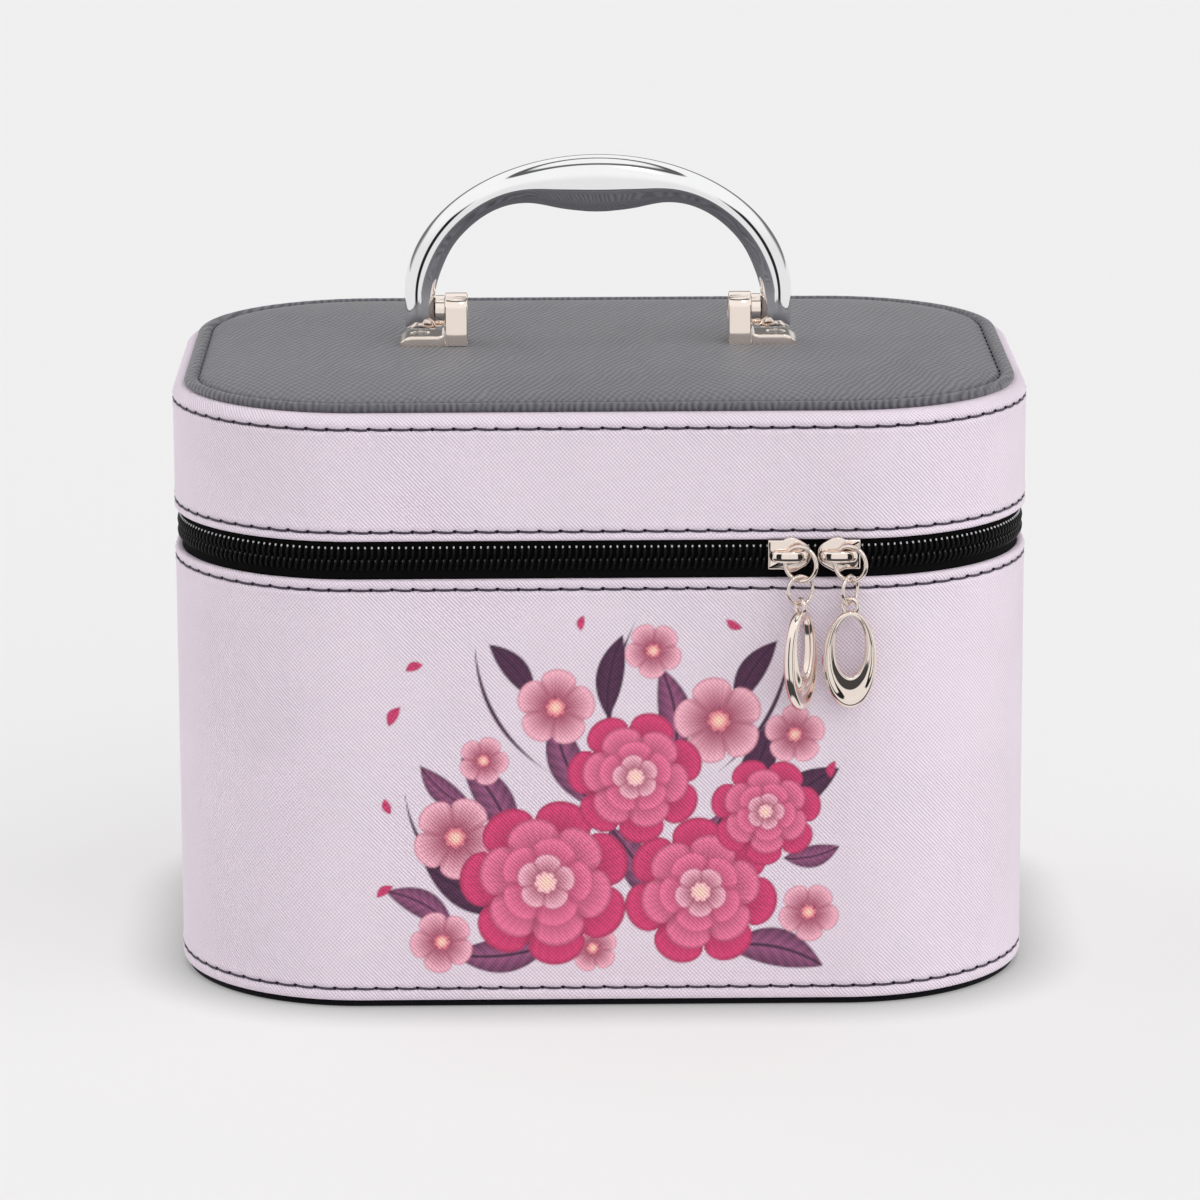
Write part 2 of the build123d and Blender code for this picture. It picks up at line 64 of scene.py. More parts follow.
class Body(str, Enum):
    """Bodies that the pieces ride on."""

    CASE = "case"
    LID = "lid"
    HANDLE = "handle"
    LEFT_SLIDER = "left_slider"
    LEFT_PULL_RING = "left_pull_ring"
    LEFT_JUMP_RING = "left_jump_ring"
    LEFT_PULL_LOOP = "left_pull_loop"
    RIGHT_SLIDER = "right_slider"
    RIGHT_PULL_RING = "right_pull_ring"
    RIGHT_JUMP_RING = "right_jump_ring"
    RIGHT_PULL_LOOP = "right_pull_loop"


class Slot(str, Enum):
    """Names of the material slots."""

    LILAC = "lilac_pu"
    CHARCOAL = "charcoal_pu"
    BASE = "base_pu"
    LINING = "lining_cloth"
    TAPE = "zip_tape"
    COIL = "zip_coil"
    NICKEL = "nickel"
    CHROME = "handle_chrome"


class Half(Enum):
    """The two halves of the zip, with the direction from the slit to the tape."""

    LOWER = -1
    UPPER = 1


class Grain(Enum):
    """How the embossed lines of a leathercloth run."""

    CROSS = "cross"
    WAVY = "wavy"


def srgb(red: float, green: float, blue: float) -> Colour:
    """Linear colour of three 0 to 255 screen values."""
    return tuple((v / 255 / 12.92) if v <= 10.3 else ((v / 255 + 0.055) / 1.055) ** 2.4 for v in (red, green, blue))


def toned(colour: Colour, share: float) -> Colour:
    """A colour made darker or lighter by a share, no brighter than white."""
    return tuple(min(1.0, c * share) for c in colour)


# ---------------------------------------------------------------- plan and swept skins
@dataclass(frozen=True)
class CasePlan:
    """Rounded rectangle of the case, measured along its edge from the middle of the back, leftwards."""

    width: float = 240.0
    depth: float = 176.0
    corner: float = 53.0

    @property
    def straight(self) -> Point:
        """Half lengths of the straight runs at the front and at the sides."""
        return self.width / 2 - self.corner, self.depth / 2 - self.corner

    @property
    def length(self) -> float:
        """Length of the whole edge."""
        half_w, half_d = self.straight
        return 4 * (half_w + half_d) + 2 * math.pi * self.corner

    def at(self, along: np.ndarray) -> tuple[np.ndarray, np.ndarray]:
        """Points on the edge and the outward directions there.

        Args:
            along: Distances along the edge.

        Returns:
            Points and unit normals, one row for each distance.
        """
        w, d = self.straight
        turn = math.pi * self.corner / 2
        lengths = np.array([w, turn, 2 * d, turn, 2 * w, turn, 2 * d, turn, w])
        centres = np.array([(0, d), (-w, d), (-w, d), (-w, -d), (-w, -d), (w, -d), (w, -d), (w, d), (w, d)])
        steps = np.array([(-1, 0), (0, 0), (0, -1), (0, 0), (1, 0), (0, 0), (0, 1), (0, 0), (-1, 0)])
        angles = np.radians([90, 90, 180, 180, 270, 270, 360, 360, 450])
        starts = np.concatenate([[0.0], np.cumsum(lengths)])
        along = np.mod(np.asarray(along, float), starts[-1])
        run = np.clip(np.searchsorted(starts, along, side="right") - 1, 0, len(lengths) - 1)
        part = along - starts[run]
        bends = np.abs(steps).sum(1) == 0
        angle = angles[run] + np.where(bends[run], part / self.corner, 0.0)
        normals = np.stack([np.cos(angle), np.sin(angle)], 1)
        return centres[run] + steps[run] * part[:, None] + self.corner * normals, normals

    def ring(self, along: np.ndarray, inset: np.ndarray | float, level: float) -> np.ndarray:
        """Points in metres at distances along the edge, drawn in by insets, at one level."""
        points, normals = self.at(along)
        flat = points - normals * np.broadcast_to(inset, along.shape)[:, None]
        return np.column_stack([flat, np.broadcast_to(level, along.shape)]) * MM


def arc(centre: Point, radius: float, start: float, end: float, count: int) -> list[Point]:
    """Points of an arc in the plane of inset and level.

    Args:
        centre: Inset and level of the arc's middle.
        radius: Radius of the arc.
        start: First angle in degrees, from the direction of growing inset.
        end: Last angle in degrees.
        count: Number of points.

    Returns:
        The points in order.
    """
    angles = np.radians(np.linspace(start, end, count))
    return [(centre[0] + radius * math.cos(a), centre[1] + radius * math.sin(a)) for a in angles]


def smooth_curve(points: list[Point], per_span: int) -> list[Point]:
    """Points of a smooth curve through given points (Catmull-Rom).

    Args:
        points: Points that the curve passes through.
        per_span: Number of points made for each span.

    Returns:
        The denser points in order.
    """
    p = np.array([points[0], *points, points[-1]], float)
    out = []
    for i in range(1, len(p) - 2):
        for t in np.linspace(0, 1, per_span, endpoint=False):
            a, b, c, d = p[i - 1 : i + 3]
            square, cube = 2 * a - 5 * b + 4 * c - d, 3 * b - a - 3 * c + d
            out.append(0.5 * (2 * b + (c - a) * t + square * t**2 + cube * t**3))
    return [tuple(q) for q in out] + [points[-1]]


def corner_bend(start: np.ndarray, corner: np.ndarray, end: np.ndarray, count: int) -> np.ndarray:
    """Points of a smooth bend from a start towards a corner and on to an end."""
    share = np.linspace(0, 1, count)[:, None]
    return (1 - share) ** 2 * start + 2 * share * (1 - share) * corner + share**2 * end


@dataclass
class Skin:
    """Grid of points, one row for each profile point and one column for each station, turned into a mesh."""

    name: str
    rows: np.ndarray
    across: np.ndarray
    along: np.ndarray
    around: bool = True
    loop: bool = True
    first_middle: Optional[tuple[float, float, float]] = None
    last_middle: Optional[tuple[float, float, float]] = None
    sharp_deg: float = 48.0
    faces: list = field(default_factory=list)
    uvs: list = field(default_factory=list)

    def build(self) -> bpy.types.Object:
        """The grid as a closed mesh object with a UV map in metres."""
        m, n = self.rows.shape[:2]
        verts = [tuple(p) for p in self.rows.reshape(-1, 3)]
        self.add_quads(m, n)
        if not self.around:
            self.add_ends(m, n)
        if self.first_middle is not None:
            self.add_fan(verts, self.first_middle, 0, n, flip=True)
        if self.last_middle is not None:
            self.add_fan(verts, self.last_middle, m - 1, n, flip=False)
        return mesh_object(self.name, verts, self.faces, self.uvs, self.sharp_deg)

    def add_quads(self, m: int, n: int) -> None:
        """Faces of the grid itself."""
        for p in range(m if self.loop else m - 1):
            q = (p + 1) % m
            v0, v1 = self.across[p], self.across[p + 1]
            for j in range(n if self.around else n - 1):
                k = (j + 1) % n
                u0, u1 = self.along[j], self.along[j + 1]
                self.faces.append((p * n + j, p * n + k, q * n + k, q * n + j))
                self.uvs.extend(((u0, v0), (u1, v0), (u1, v1), (u0, v1)))

    def add_ends(self, m: int, n: int) -> None:
        """Flat faces at both ends of an open run."""
        for order in ([p * n for p in range(m)], [p * n + n - 1 for p in reversed(range(m))]):
            self.faces.append(tuple(order))
            self.uvs.extend([(0.0, 0.0)] * m)

    def add_fan(self, verts: list, middle: tuple, row: int, n: int, flip: bool) -> None:
        """Triangles from one row to a middle point."""
        verts.append(middle)
        tip = len(verts) - 1
        for j in range(n):
            k = (j + 1) % n
            pair = (k, j) if flip else (j, k)
            self.faces.append((tip, row * n + pair[0], row * n + pair[1]))
            self.uvs.extend([verts[tip][:2], *(verts[row * n + i][:2] for i in pair)])


def mesh_object(name: str, verts: list, faces: list, uvs: list, sharp_deg: float) -> bpy.types.Object:
    """A smooth-shaded mesh object at the origin.

    Args:
        name: Name of the piece.
        verts: Points in metres.
        faces: Corner indices of each face.
        uvs: One UV pair for each face corner, or an empty list.
        sharp_deg: Edges sharper than this stay sharp.

    Returns:
        The new object, linked to the scene.
    """
    mesh = bpy.data.meshes.new(name)
    mesh.from_pydata(verts, [], faces)
    if uvs:
        layer = mesh.uv_layers.new(name="UVMap")
        layer.data.foreach_set("uv", np.array(uvs, np.float32).ravel())
    mesh.polygons.foreach_set("use_smooth", [True] * len(mesh.polygons))
    mesh.set_sharp_from_angle(angle=math.radians(sharp_deg))
    mesh.update()
    obj = bpy.data.objects.new(name, mesh)
    bpy.context.scene.collection.objects.link(obj)
    return obj


def profile_lengths(profile: list[Point]) -> np.ndarray:
    """Distances in metres along a profile, with one more for the way back to its first point."""
    p = np.array([*profile, profile[0]], float)
    steps = np.hypot(*np.diff(p, axis=0).T)
    return np.concatenate([[0.0], np.cumsum(steps)]) * MM


# ---------------------------------------------------------------- node wiring
class Wiring:
    """Short calls that add and join nodes in a tree."""

    def __init__(self, tree: bpy.types.NodeTree) -> None:
        """Keeps the tree that the nodes go into."""
        self.tree = tree

    def add(self, kind: str, **settings: Value) -> bpy.types.Node:
        """A new node of a kind, with its settings."""
        node = self.tree.nodes.new(kind)
        for key, value in settings.items():
            setattr(node, key, value)
        return node

    def feed(self, socket: bpy.types.NodeSocket, value: Value) -> None:
        """Joins a socket to another one, or sets its value."""
        if isinstance(value, bpy.types.NodeSocket):
            self.tree.links.new(value, socket)
        elif socket.type == "RGBA" and len(value) == 3:
            socket.default_value = (*value, 1.0)
        else:
            socket.default_value = value

    def run(self, kind: str, inputs: dict, output: Value = 0, **settings: Value) -> bpy.types.NodeSocket:
        """One output of a new node with its inputs fed by name or number."""
        node = self.add(kind, **settings)
        for key, value in inputs.items():
            self.feed(node.inputs[key], value)
        return node.outputs[output]

    def math(self, operation: str, *values: Value) -> bpy.types.NodeSocket:
        """Result of a math node."""
        return self.run("ShaderNodeMath", dict(enumerate(values)), operation=operation)

    def mix(self, factor: Value, first: Value, second: Value) -> bpy.types.NodeSocket:
        """Colour mixed from two colours."""
        return self.run("ShaderNodeMix", {0: factor, 6: first, 7: second}, 2, data_type="RGBA")

    def plus(self, base: Value, value: Value, share: float) -> bpy.types.NodeSocket:
        """A base with a share of a value added."""
        return self.math("ADD", base, self.math("MULTIPLY", value, share))

    def step(
        self, value: Value, low: float, high: float, at_low: float = 0.0, at_high: float = 1.0
    ) -> bpy.types.NodeSocket:
        """Smooth step of a value between two limits."""
        inputs = {0: value, 1: low, 2: high, 3: at_low, 4: at_high}
        return self.run("ShaderNodeMapRange", inputs, interpolation_type="SMOOTHSTEP")

    def noise(self, vector: Value, scale: float, detail: float = 2.0, rough: float = 0.5) -> bpy.types.NodeSocket:
        """Value of a noise texture."""
        inputs = {"Vector": vector, "Scale": scale, "Detail": detail, "Roughness": rough}
        return self.run("ShaderNodeTexNoise", inputs, "Fac")

    def bands(self, vector: Value, period_mm: float, turn_deg: float, distortion: float) -> bpy.types.NodeSocket:
        """Wave bands of a period, turned in the plane of the coordinates.

        Args:
            vector: Coordinates in metres.
            period_mm: Distance from band to band.
            turn_deg: Turn of the bands.
            distortion: How far the bands wander.

        Returns:
            Height of the bands from 0 to 1.
        """
        turned = self.run("ShaderNodeMapping", {"Vector": vector, "Rotation": (0.0, 0.0, math.radians(turn_deg))})
        inputs = {"Vector": turned, "Scale": math.pi / 10 / (period_mm * MM), "Distortion": distortion}
        inputs.update({"Detail": 2.0, "Detail Scale": 0.6})
        return self.run("ShaderNodeTexWave", inputs, "Fac", bands_direction="X")


class Paint(Wiring):
    """A new material with a Principled shader."""

    def __init__(self, name: str) -> None:
        """Makes the material and its empty tree."""
        self.material = bpy.data.materials.new(name)
        self.material.use_nodes = True
        super().__init__(self.material.node_tree)
        self.shader = self.tree.nodes["Principled BSDF"]

    def set(self, **values: Value) -> None:
        """Sets or joins inputs of the shader, with underscores for the spaces in their names."""
        for key, value in values.items():
            self.feed(self.shader.inputs[key.replace("_", " ")], value)

    def place(self, which: str) -> bpy.types.NodeSocket:
        """Coordinates of the piece: Object or UV."""
        return self.add("ShaderNodeTexCoord").outputs[which]

    def bump(self, height: Value, depth_mm: float) -> None:
        """Sends a height to the shader's normal."""
        inputs = {"Height": height, "Strength": 1.0, "Distance": depth_mm * MM}
        self.set(Normal=self.run("ShaderNodeBump", inputs))


# ---------------------------------------------------------------- printed spray on the front
@dataclass
class SprayPrint:
    """Printed spray of blossoms and leaves, laid over the plain colours of points at places x and heights z."""

    x: np.ndarray
    z: np.ndarray
    colours: np.ndarray

    LAYER = "print"

    CRIMSON = srgb(150, 22, 74)
    DEEP = srgb(112, 14, 58)
    ROSE = srgb(226, 62, 120)
    PINK = srgb(248, 122, 164)
    BLUSH = srgb(255, 190, 208)
    PLUM = srgb(88, 40, 78)
    DUSK = srgb(58, 26, 56)
    MAUVE = srgb(156, 84, 128)
    GOLD = srgb(255, 214, 190)

    FULL = ((-16, 36, 24, 8), (27, 33, 21.5, 40), (9, 66, 19, 62), (45, 56, 15.5, 20))
    OPEN = (
        (-41, 49, 12, 0), (32, 82, 12.5, 30), (-13, 86, 11, 50), (-45, 19, 9, 18), (53, 78, 8.5, 44),
        (14, 102, 8, 12), (-33, 71, 7, 66), (57, 27, 8.5, 5), (-3, 17, 7, 33),
    )
    LEAVES = (
        (-36, 33, 16, 5.5, 158, 0.5), (-30, 60, 15, 5, 120, -0.4), (48, 17, 14, 5.5, -12, 0.5),
        (55, 62, 12, 4.6, 40, 0.4), (20, 84, 14, 4.6, 98, -0.5), (-10, 70, 15, 5, 112, 0.5),
        (43, 70, 13, 4.4, 66, -0.4), (-28, 15, 14, 5, 186, 0.4), (28, 44, 14, 5, 70, 0.3),
        (2, 95, 12, 3.8, 80, 0.4), (-50, 30, 11, 4, 150, -0.5), (10, 40, 15, 5, 120, -0.3),
        (41, 96, 11, 3.6, 58, 0.4), (-44, 62, 10, 3.4, 140, 0.5), (58, 43, 8, 3.2, 12, -0.4),
        (-24, 97, 10, 3.4, 128, -0.4),
    )
    TWIGS = (
        (2, 86, 24, 0.7, 84, 6.0), (-30, 84, 20, 0.6, 118, 8.0), (46, 84, 20, 0.6, 62, -7.0),
        (-48, 44, 18, 0.6, 128, 9.0),
    )
    LOOSE = (
        (-58, 84, 3.2, 1.5, 60, 0.4), (-52, 98, 2.6, 1.3, 20, 0.4), (62, 98, 2.8, 1.3, 130, 0.4),
        (-60, 58, 2.4, 1.2, 110, 0.3), (63, 68, 2.6, 1.3, 75, 0.4), (-61, 34, 2.8, 1.3, 35, 0.4),
        (36, 109, 2.6, 1.2, 150, 0.4), (-6, 110, 2.2, 1.1, 80, 0.4),
    )
    FULL_RINGS = (
        (1.0, 7, DEEP, ROSE), (0.78, 6, DEEP, PINK), (0.55, 5, CRIMSON, PINK), (0.34, 5, CRIMSON, BLUSH),
        (0.13, 8, GOLD, BLUSH),
    )
    OPEN_RINGS = ((1.0, 5, CRIMSON, BLUSH), (0.24, 7, GOLD, ROSE))
    SOFT = 0.22

    def spray(self) -> np.ndarray:
        """Lays twigs, leaves, blossoms and loose petals in order, and returns the linear colours of the points."""
        for twig in self.TWIGS:
            self.blade(twig, self.DUSK, self.PLUM)
        for i, leaf in enumerate(self.LEAVES):
            self.blade(leaf, self.MAUVE if i % 3 else self.PLUM, self.DUSK)
        for places, rings in ((self.OPEN, self.OPEN_RINGS), (self.FULL, self.FULL_RINGS)):
            for place in places:
                for ring in rings:
                    self.ring(place, ring)
        for petal in self.LOOSE:
            self.blade(petal, self.ROSE, self.CRIMSON)
        return self.colours

    @staticmethod
    def laid(below: np.ndarray, cover: np.ndarray, above: np.ndarray) -> np.ndarray:
        """One colour laid over another by how far it covers."""
        share = np.clip(cover, 0.0, 1.0)[:, None]
        return below * (1 - share) + above * share

    def ring(self, place: tuple, ring: tuple) -> None:
        """Lays one ring of round petals, with veins, creases and a dark edge.

        Args:
            place: Middle, radius and turn of the blossom.
            ring: Share of the radius, petals, inner and outer colour.
        """
        size, petals, inner, outer = ring
        radius = place[2] * size
        right, up = self.x - place[0], self.z - place[1]
        share = np.hypot(right, up) / radius
        angle = np.arctan2(up, right) + math.radians(place[3] + 47 * size)
        off = np.abs(np.mod(angle * petals / math.tau, 1.0) - 0.5) * 2
        edge = 0.7 + 0.3 * np.sqrt(np.maximum(1 - off**2, 0.0))
        ratio = share / edge
        tone = np.minimum(ratio, 1.0) ** 1.5 + 0.05 * np.sin(angle * petals * 8)
        colour = self.laid(np.array(inner), tone, np.array(outer))
        crease = np.clip((off - 0.72) / 0.28, 0, 1) * np.clip((share - 0.15) / 0.3, 0, 1)
        shade = np.maximum(crease, np.clip((ratio - 0.93) / 0.07, 0, 1)) * 0.6
        colour = self.laid(colour, shade, np.array(inner))
        self.colours = self.laid(self.colours, 0.5 + (edge - share) * radius / self.SOFT / 2, colour)

    def blade(self, place: tuple, inner: Colour, outer: Colour) -> None:
        """Lays one pointed leaf, twig or loose petal, with a middle vein and ribs.

        Args:
            place: Middle, half length, half width, turn and bend.
            inner: Colour along the middle.
            outer: Colour of the vein and towards the edge.
        """
        middle_x, middle_z, half_length, half_width, turn, bend = place
        c, s = math.cos(math.radians(turn)), math.sin(math.radians(turn))
        right, up = self.x - middle_x, self.z - middle_z
        u = (right * c + up * s) / half_length
        side = np.abs((up * c - right * s) / half_width + bend * u**2)
        half = 1 - u**2
        tone = 0.7 * side / np.maximum(half, 1e-3) + 0.12 * np.sin((u - 0.3 * side) * 26)
        colour = self.laid(np.array(inner), tone, np.array(outer))
        colour = self.laid(colour, (0.12 - side) / 0.09, np.array(outer))
        self.colours = self.laid(self.colours, 0.5 + (half - side) * half_width / self.SOFT / 2, colour)


# ---------------------------------------------------------------- finishes
@dataclass(frozen=True)
class Leathercloth:
    """Coated cloth with an embossed cross grain."""

    name: str
    colour: Colour
    grain: Grain = Grain.CROSS
    period: float = 0.8
    roughness: float = 0.46
    depth: float = 0.14
    contrast: float = 0.34
    coords: str = "UV"
    print_layer: str = ""
    sheen: float = 0.06
    shine: float = 0.45

    # share of the period, turn and distortion of the two sets of lines
    BANDS = {
        Grain.CROSS: ((1.0, -44, 0.9), (1.06, 42, 0.9)),
        Grain.WAVY: ((1.0, 38, 7.0), (1.0, -52, 6.0)),
    }
    WAVY_STRETCH = (1.0, 0.45, 1.0)
    PATCHES, MOTTLE, PORES = 26.0, 60.0, 2600.0

    def lines(self, paint: Paint, place: bpy.types.NodeSocket) -> bpy.types.NodeSocket:
        """Height of the embossed lines, one set strong and the other weak, changing in patches."""
        if self.grain is Grain.WAVY:
            place = paint.run("ShaderNodeVectorMath", {0: place, 1: self.WAVY_STRETCH}, operation="MULTIPLY")
        first, second = (
            paint.bands(place, self.period * share, turn, distortion)
            for share, turn, distortion in self.BANDS[self.grain]
        )
        pick = paint.step(paint.noise(place, self.PATCHES, 1.0), 0.40, 0.60)
        strong = paint.math("MULTIPLY", first, paint.plus(0.65, pick, 0.35))
        weak = paint.math("MULTIPLY", second, paint.plus(0.38, pick, -0.33))
        return paint.math("ADD", strong, weak)

    def material(self) -> bpy.types.Material:
        """The finished material."""
        paint = Paint(self.name)
        place = paint.place(self.coords)
        lines = self.lines(paint, place)
        mottle = paint.noise(place, self.MOTTLE, 3.0)
        pores = paint.noise(place, self.PORES, 1.0)
        tone = paint.plus(paint.math("MULTIPLY", lines, 0.8), mottle, 0.12)
        shade = paint.plus(1.0 - self.contrast * 0.85, tone, self.contrast * 1.35)
        flat = self.colour
        if self.print_layer:
            flat = paint.add("ShaderNodeVertexColor", layer_name=self.print_layer).outputs["Color"]
        ground = paint.run("ShaderNodeVectorMath", {0: flat, "Scale": shade}, operation="SCALE")
        paint.set(Base_Color=ground, Roughness=paint.plus(self.roughness - 0.07, mottle, 0.14))
        paint.set(Specular_IOR_Level=self.shine, Sheen_Weight=self.sheen, Sheen_Roughness=0.5)
        paint.bump(paint.plus(lines, pores, 0.35), self.depth)
        return paint.material


@dataclass(frozen=True)
class Plate:
    """Plated or plain metal."""

    name: str
    colour: Colour
    roughness: float
    haze: float = 0.03
    brushed: bool = False

    BRUSH_PITCH = 0.16
    BRUSH_DEPTH = 0.004
    POLISH_DEPTH = 0.0006

    def material(self) -> bpy.types.Material:
        """The finished material."""
        paint = Paint(self.name)
        place = paint.place("Object")
        cloud = paint.noise(place, 90.0, 4.0, 0.6)
        paint.set(Base_Color=paint.mix(cloud, toned(self.colour, 0.93), self.colour), Metallic=1.0)
        if self.brushed:
            marks = paint.bands(place, self.BRUSH_PITCH, 0, 3.0)
        else:
            marks = paint.noise(place, 300.0, 2.0)
        paint.set(Roughness=paint.plus(self.roughness, marks, self.haze))
        paint.bump(marks, self.BRUSH_DEPTH if self.brushed else self.POLISH_DEPTH)
        return paint.material


@dataclass(frozen=True)
class Woven:
    """Plain woven tape or lining cloth."""

    name: str
    colour: Colour
    pitch: float
    depth: float
    roughness: float = 0.85
    sheen: float = 0.25
    shine: float = 0.3
    coords: str = "UV"

    def material(self) -> bpy.types.Material:
        """The finished material."""
        paint = Paint(self.name)
        place = paint.place(self.coords)
        warp = paint.bands(place, self.pitch, 45, 0.4)
        weft = paint.bands(place, self.pitch, -45, 0.4)
        weave = paint.math("MAXIMUM", warp, paint.math("MULTIPLY", weft, 0.8))
        fluff = paint.noise(place, 900.0, 3.0, 0.6)
        tone = paint.plus(paint.math("MULTIPLY", weave, 0.6), fluff, 0.4)
        ground = paint.mix(tone, toned(self.colour, 0.5), toned(self.colour, 1.5))
        paint.set(Base_Color=ground, Roughness=self.roughness)
        paint.set(Sheen_Weight=self.sheen, Sheen_Roughness=0.45, Specular_IOR_Level=self.shine)
        paint.bump(paint.plus(weave, fluff, 0.3), self.depth)
        return paint.material


@dataclass(frozen=True)
class Nylon:
    """Smooth nylon: coil loops and sewing thread."""

    name: str
    colour: Colour
    roughness: float
    twist: float
    sheen: float = 0.0
    shine: float = 0.5

    THREAD_DEPTH = 0.02
    SMOOTH_DEPTH = 0.006

    def material(self) -> bpy.types.Material:
        """The finished material."""
        paint = Paint(self.name)
        place = paint.place("Object")
        fibres = paint.bands(place, self.twist, 35, 1.5)
        cloud = paint.noise(place, 400.0, 2.0)
        paint.set(Base_Color=paint.mix(cloud, toned(self.colour, 0.65), self.colour))
        paint.set(Roughness=paint.plus(self.roughness, cloud, 0.12))
        paint.set(Specular_IOR_Level=self.shine, Sheen_Weight=self.sheen)
        paint.bump(fibres, self.THREAD_DEPTH if self.sheen else self.SMOOTH_DEPTH)
        return paint.material


@dataclass(frozen=True)
class Fibrous:
    """Pressed board, or the frayed cloth of a needle hole, darkened as painted shade."""

    name: str
    colour: Colour
    scale: float
    depth: float

    def material(self) -> bpy.types.Material:
        """The finished material."""
        paint = Paint(self.name)
        place = paint.place("Object")
        specks = paint.noise(place, self.scale, 5.0, 0.65)
        ground = paint.mix(specks, toned(self.colour, 0.7), toned(self.colour, 1.2))
        paint.set(Base_Color=ground, Roughness=0.9, Specular_IOR_Level=0.25)
        paint.bump(specks, self.depth)
        return paint.material


@dataclass(frozen=True)
class SilverGlass:
    """Mirror glass."""

    name: str
    colour: Colour

    def material(self) -> bpy.types.Material:
        """The finished material."""
        paint = Paint(self.name)
        smear = paint.noise(paint.place("Object"), 40.0, 3.0)
        paint.set(Base_Color=paint.mix(smear, toned(self.colour, 0.97), self.colour), Metallic=1.0)
        paint.set(Roughness=paint.math("MULTIPLY", paint.step(smear, 0.5, 0.9), 0.05))
        paint.set(Coat_Weight=0.3, Coat_Roughness=0.02)
        return paint.material


class Finishes:
    """Every finish of the case, made once."""

    def __init__(self) -> None:
        """Makes the materials."""
        self.lilac_tone = srgb(228, 214, 227)
        self.printed_lilac = Leathercloth(
            "printed_lilac_leathercloth", self.lilac_tone, print_layer=SprayPrint.LAYER
        ).material()
        self.lilac = Leathercloth("lilac_leathercloth", self.lilac_tone).material()
        self.charcoal = Leathercloth(
            "charcoal_leathercloth", srgb(88, 87, 94), Grain.WAVY, period=1.5, roughness=0.5, depth=0.22,
            contrast=0.75, coords="Object", sheen=0.24,
        ).material()
        self.base = Leathercloth(
            "black_leathercloth", srgb(13, 12, 16), Grain.WAVY, period=0.9, roughness=0.7, depth=0.04,
            contrast=0.3, coords="Object", sheen=0.0, shine=0.1,
        ).material()
        self.lining = Woven(
            "lining_cloth", srgb(62, 56, 66), pitch=0.5, depth=0.05, roughness=0.95, sheen=0.5
        ).material()
        self.tape = Woven(
            "zip_tape_weave", srgb(11, 10, 11), pitch=0.62, depth=0.08, sheen=0.015, shine=0.06
        ).material()
        self.coil = Nylon("zip_coil_nylon", srgb(15, 14, 15), roughness=0.3, twist=0.5, shine=0.12).material()
        # The two coil-turn finishes are painted highlights on the black nylon: pale at the upper turns, grey at the
        # lower ones.
        self.painted_coil_highlight = Nylon("zip_coil_painted_highlight", srgb(212, 210, 212), roughness=0.2, twist=0.5).material()
        self.painted_coil_dim_highlight = Nylon("zip_coil_painted_dim_highlight", srgb(62, 60, 62), roughness=0.3, twist=0.5).material()
        self.thread = Nylon("plum_thread", srgb(64, 50, 72), roughness=0.55, twist=0.3, sheen=0.2).material()
        self.dark_thread = Nylon("charcoal_thread", srgb(44, 42, 50), roughness=0.6, twist=0.3, sheen=0.2).material()
        # The needle holes are dark beads, not cavities: their colour is painted shade.
        self.hole = Fibrous("needle_hole_painted_shade", srgb(26, 20, 30), scale=3000.0, depth=0.01).material()
        self.board = Fibrous("grey_board", srgb(150, 144, 136), scale=500.0, depth=0.05).material()
        self.mirror = SilverGlass("mirror_glass_silver", (0.86, 0.89, 0.89)).material()
        self.nickel = Plate("warm_nickel_plate", (0.96, 0.85, 0.77), roughness=0.05, haze=0.02).material()
        self.chrome = Plate("bright_chrome_plate", (0.94, 0.94, 0.95), roughness=0.045, haze=0.015).material()
        self.steel = Plate("plain_steel", (0.56, 0.56, 0.55), roughness=0.28, haze=0.1, brushed=True).material()


def dress(obj: bpy.types.Object, material: bpy.types.Material) -> None:
    """Gives an object one material."""
    obj.data.materials.clear()
    obj.data.materials.append(material)


# ---------------------------------------------------------------- repeated pieces by Geometry Nodes
@dataclass(frozen=True)
class Anchors:
    """Places of repeated pieces, each with the way along its row and the way out of the surface."""

    points: np.ndarray
    along: np.ndarray
    out: np.ndarray

    def holder(self, name: str) -> bpy.types.Object:
        """A mesh of bare points that carries both directions as attributes."""
        mesh = bpy.data.meshes.new(name)
        mesh.from_pydata([tuple(p) for p in self.points], [], [])
        for key, value in (("along", self.along), ("out", self.out)):
            layer = mesh.attributes.new(key, "FLOAT_VECTOR", "POINT")
            layer.data.foreach_set("vector", np.asarray(value, np.float32).ravel())
        obj = bpy.data.objects.new(name, mesh)
        bpy.context.scene.collection.objects.link(obj)
        return obj


@dataclass(frozen=True)
class RowSizes:
    """Sizes of the small bent tube and the needle hole that a row repeats."""

    length: float
    thickness: float
    bulge: float
    slant: float = 0.0
    sag: float = 0.0
    sink: float = 0.0
    hole: float = 0.0
    play: float = 0.0
    seed: int = 0

    def values(self, tube: bpy.types.Material, hole: bpy.types.Material) -> dict:
        """Inputs of the row's Geometry Nodes tree by name."""
        sizes = {key: getattr(self, key.lower()) * MM for key in RowTree.SIZES}
        return {**sizes, "Play": self.play, "Seed": self.seed, "Tube Finish": tube, "Hole Finish": hole}


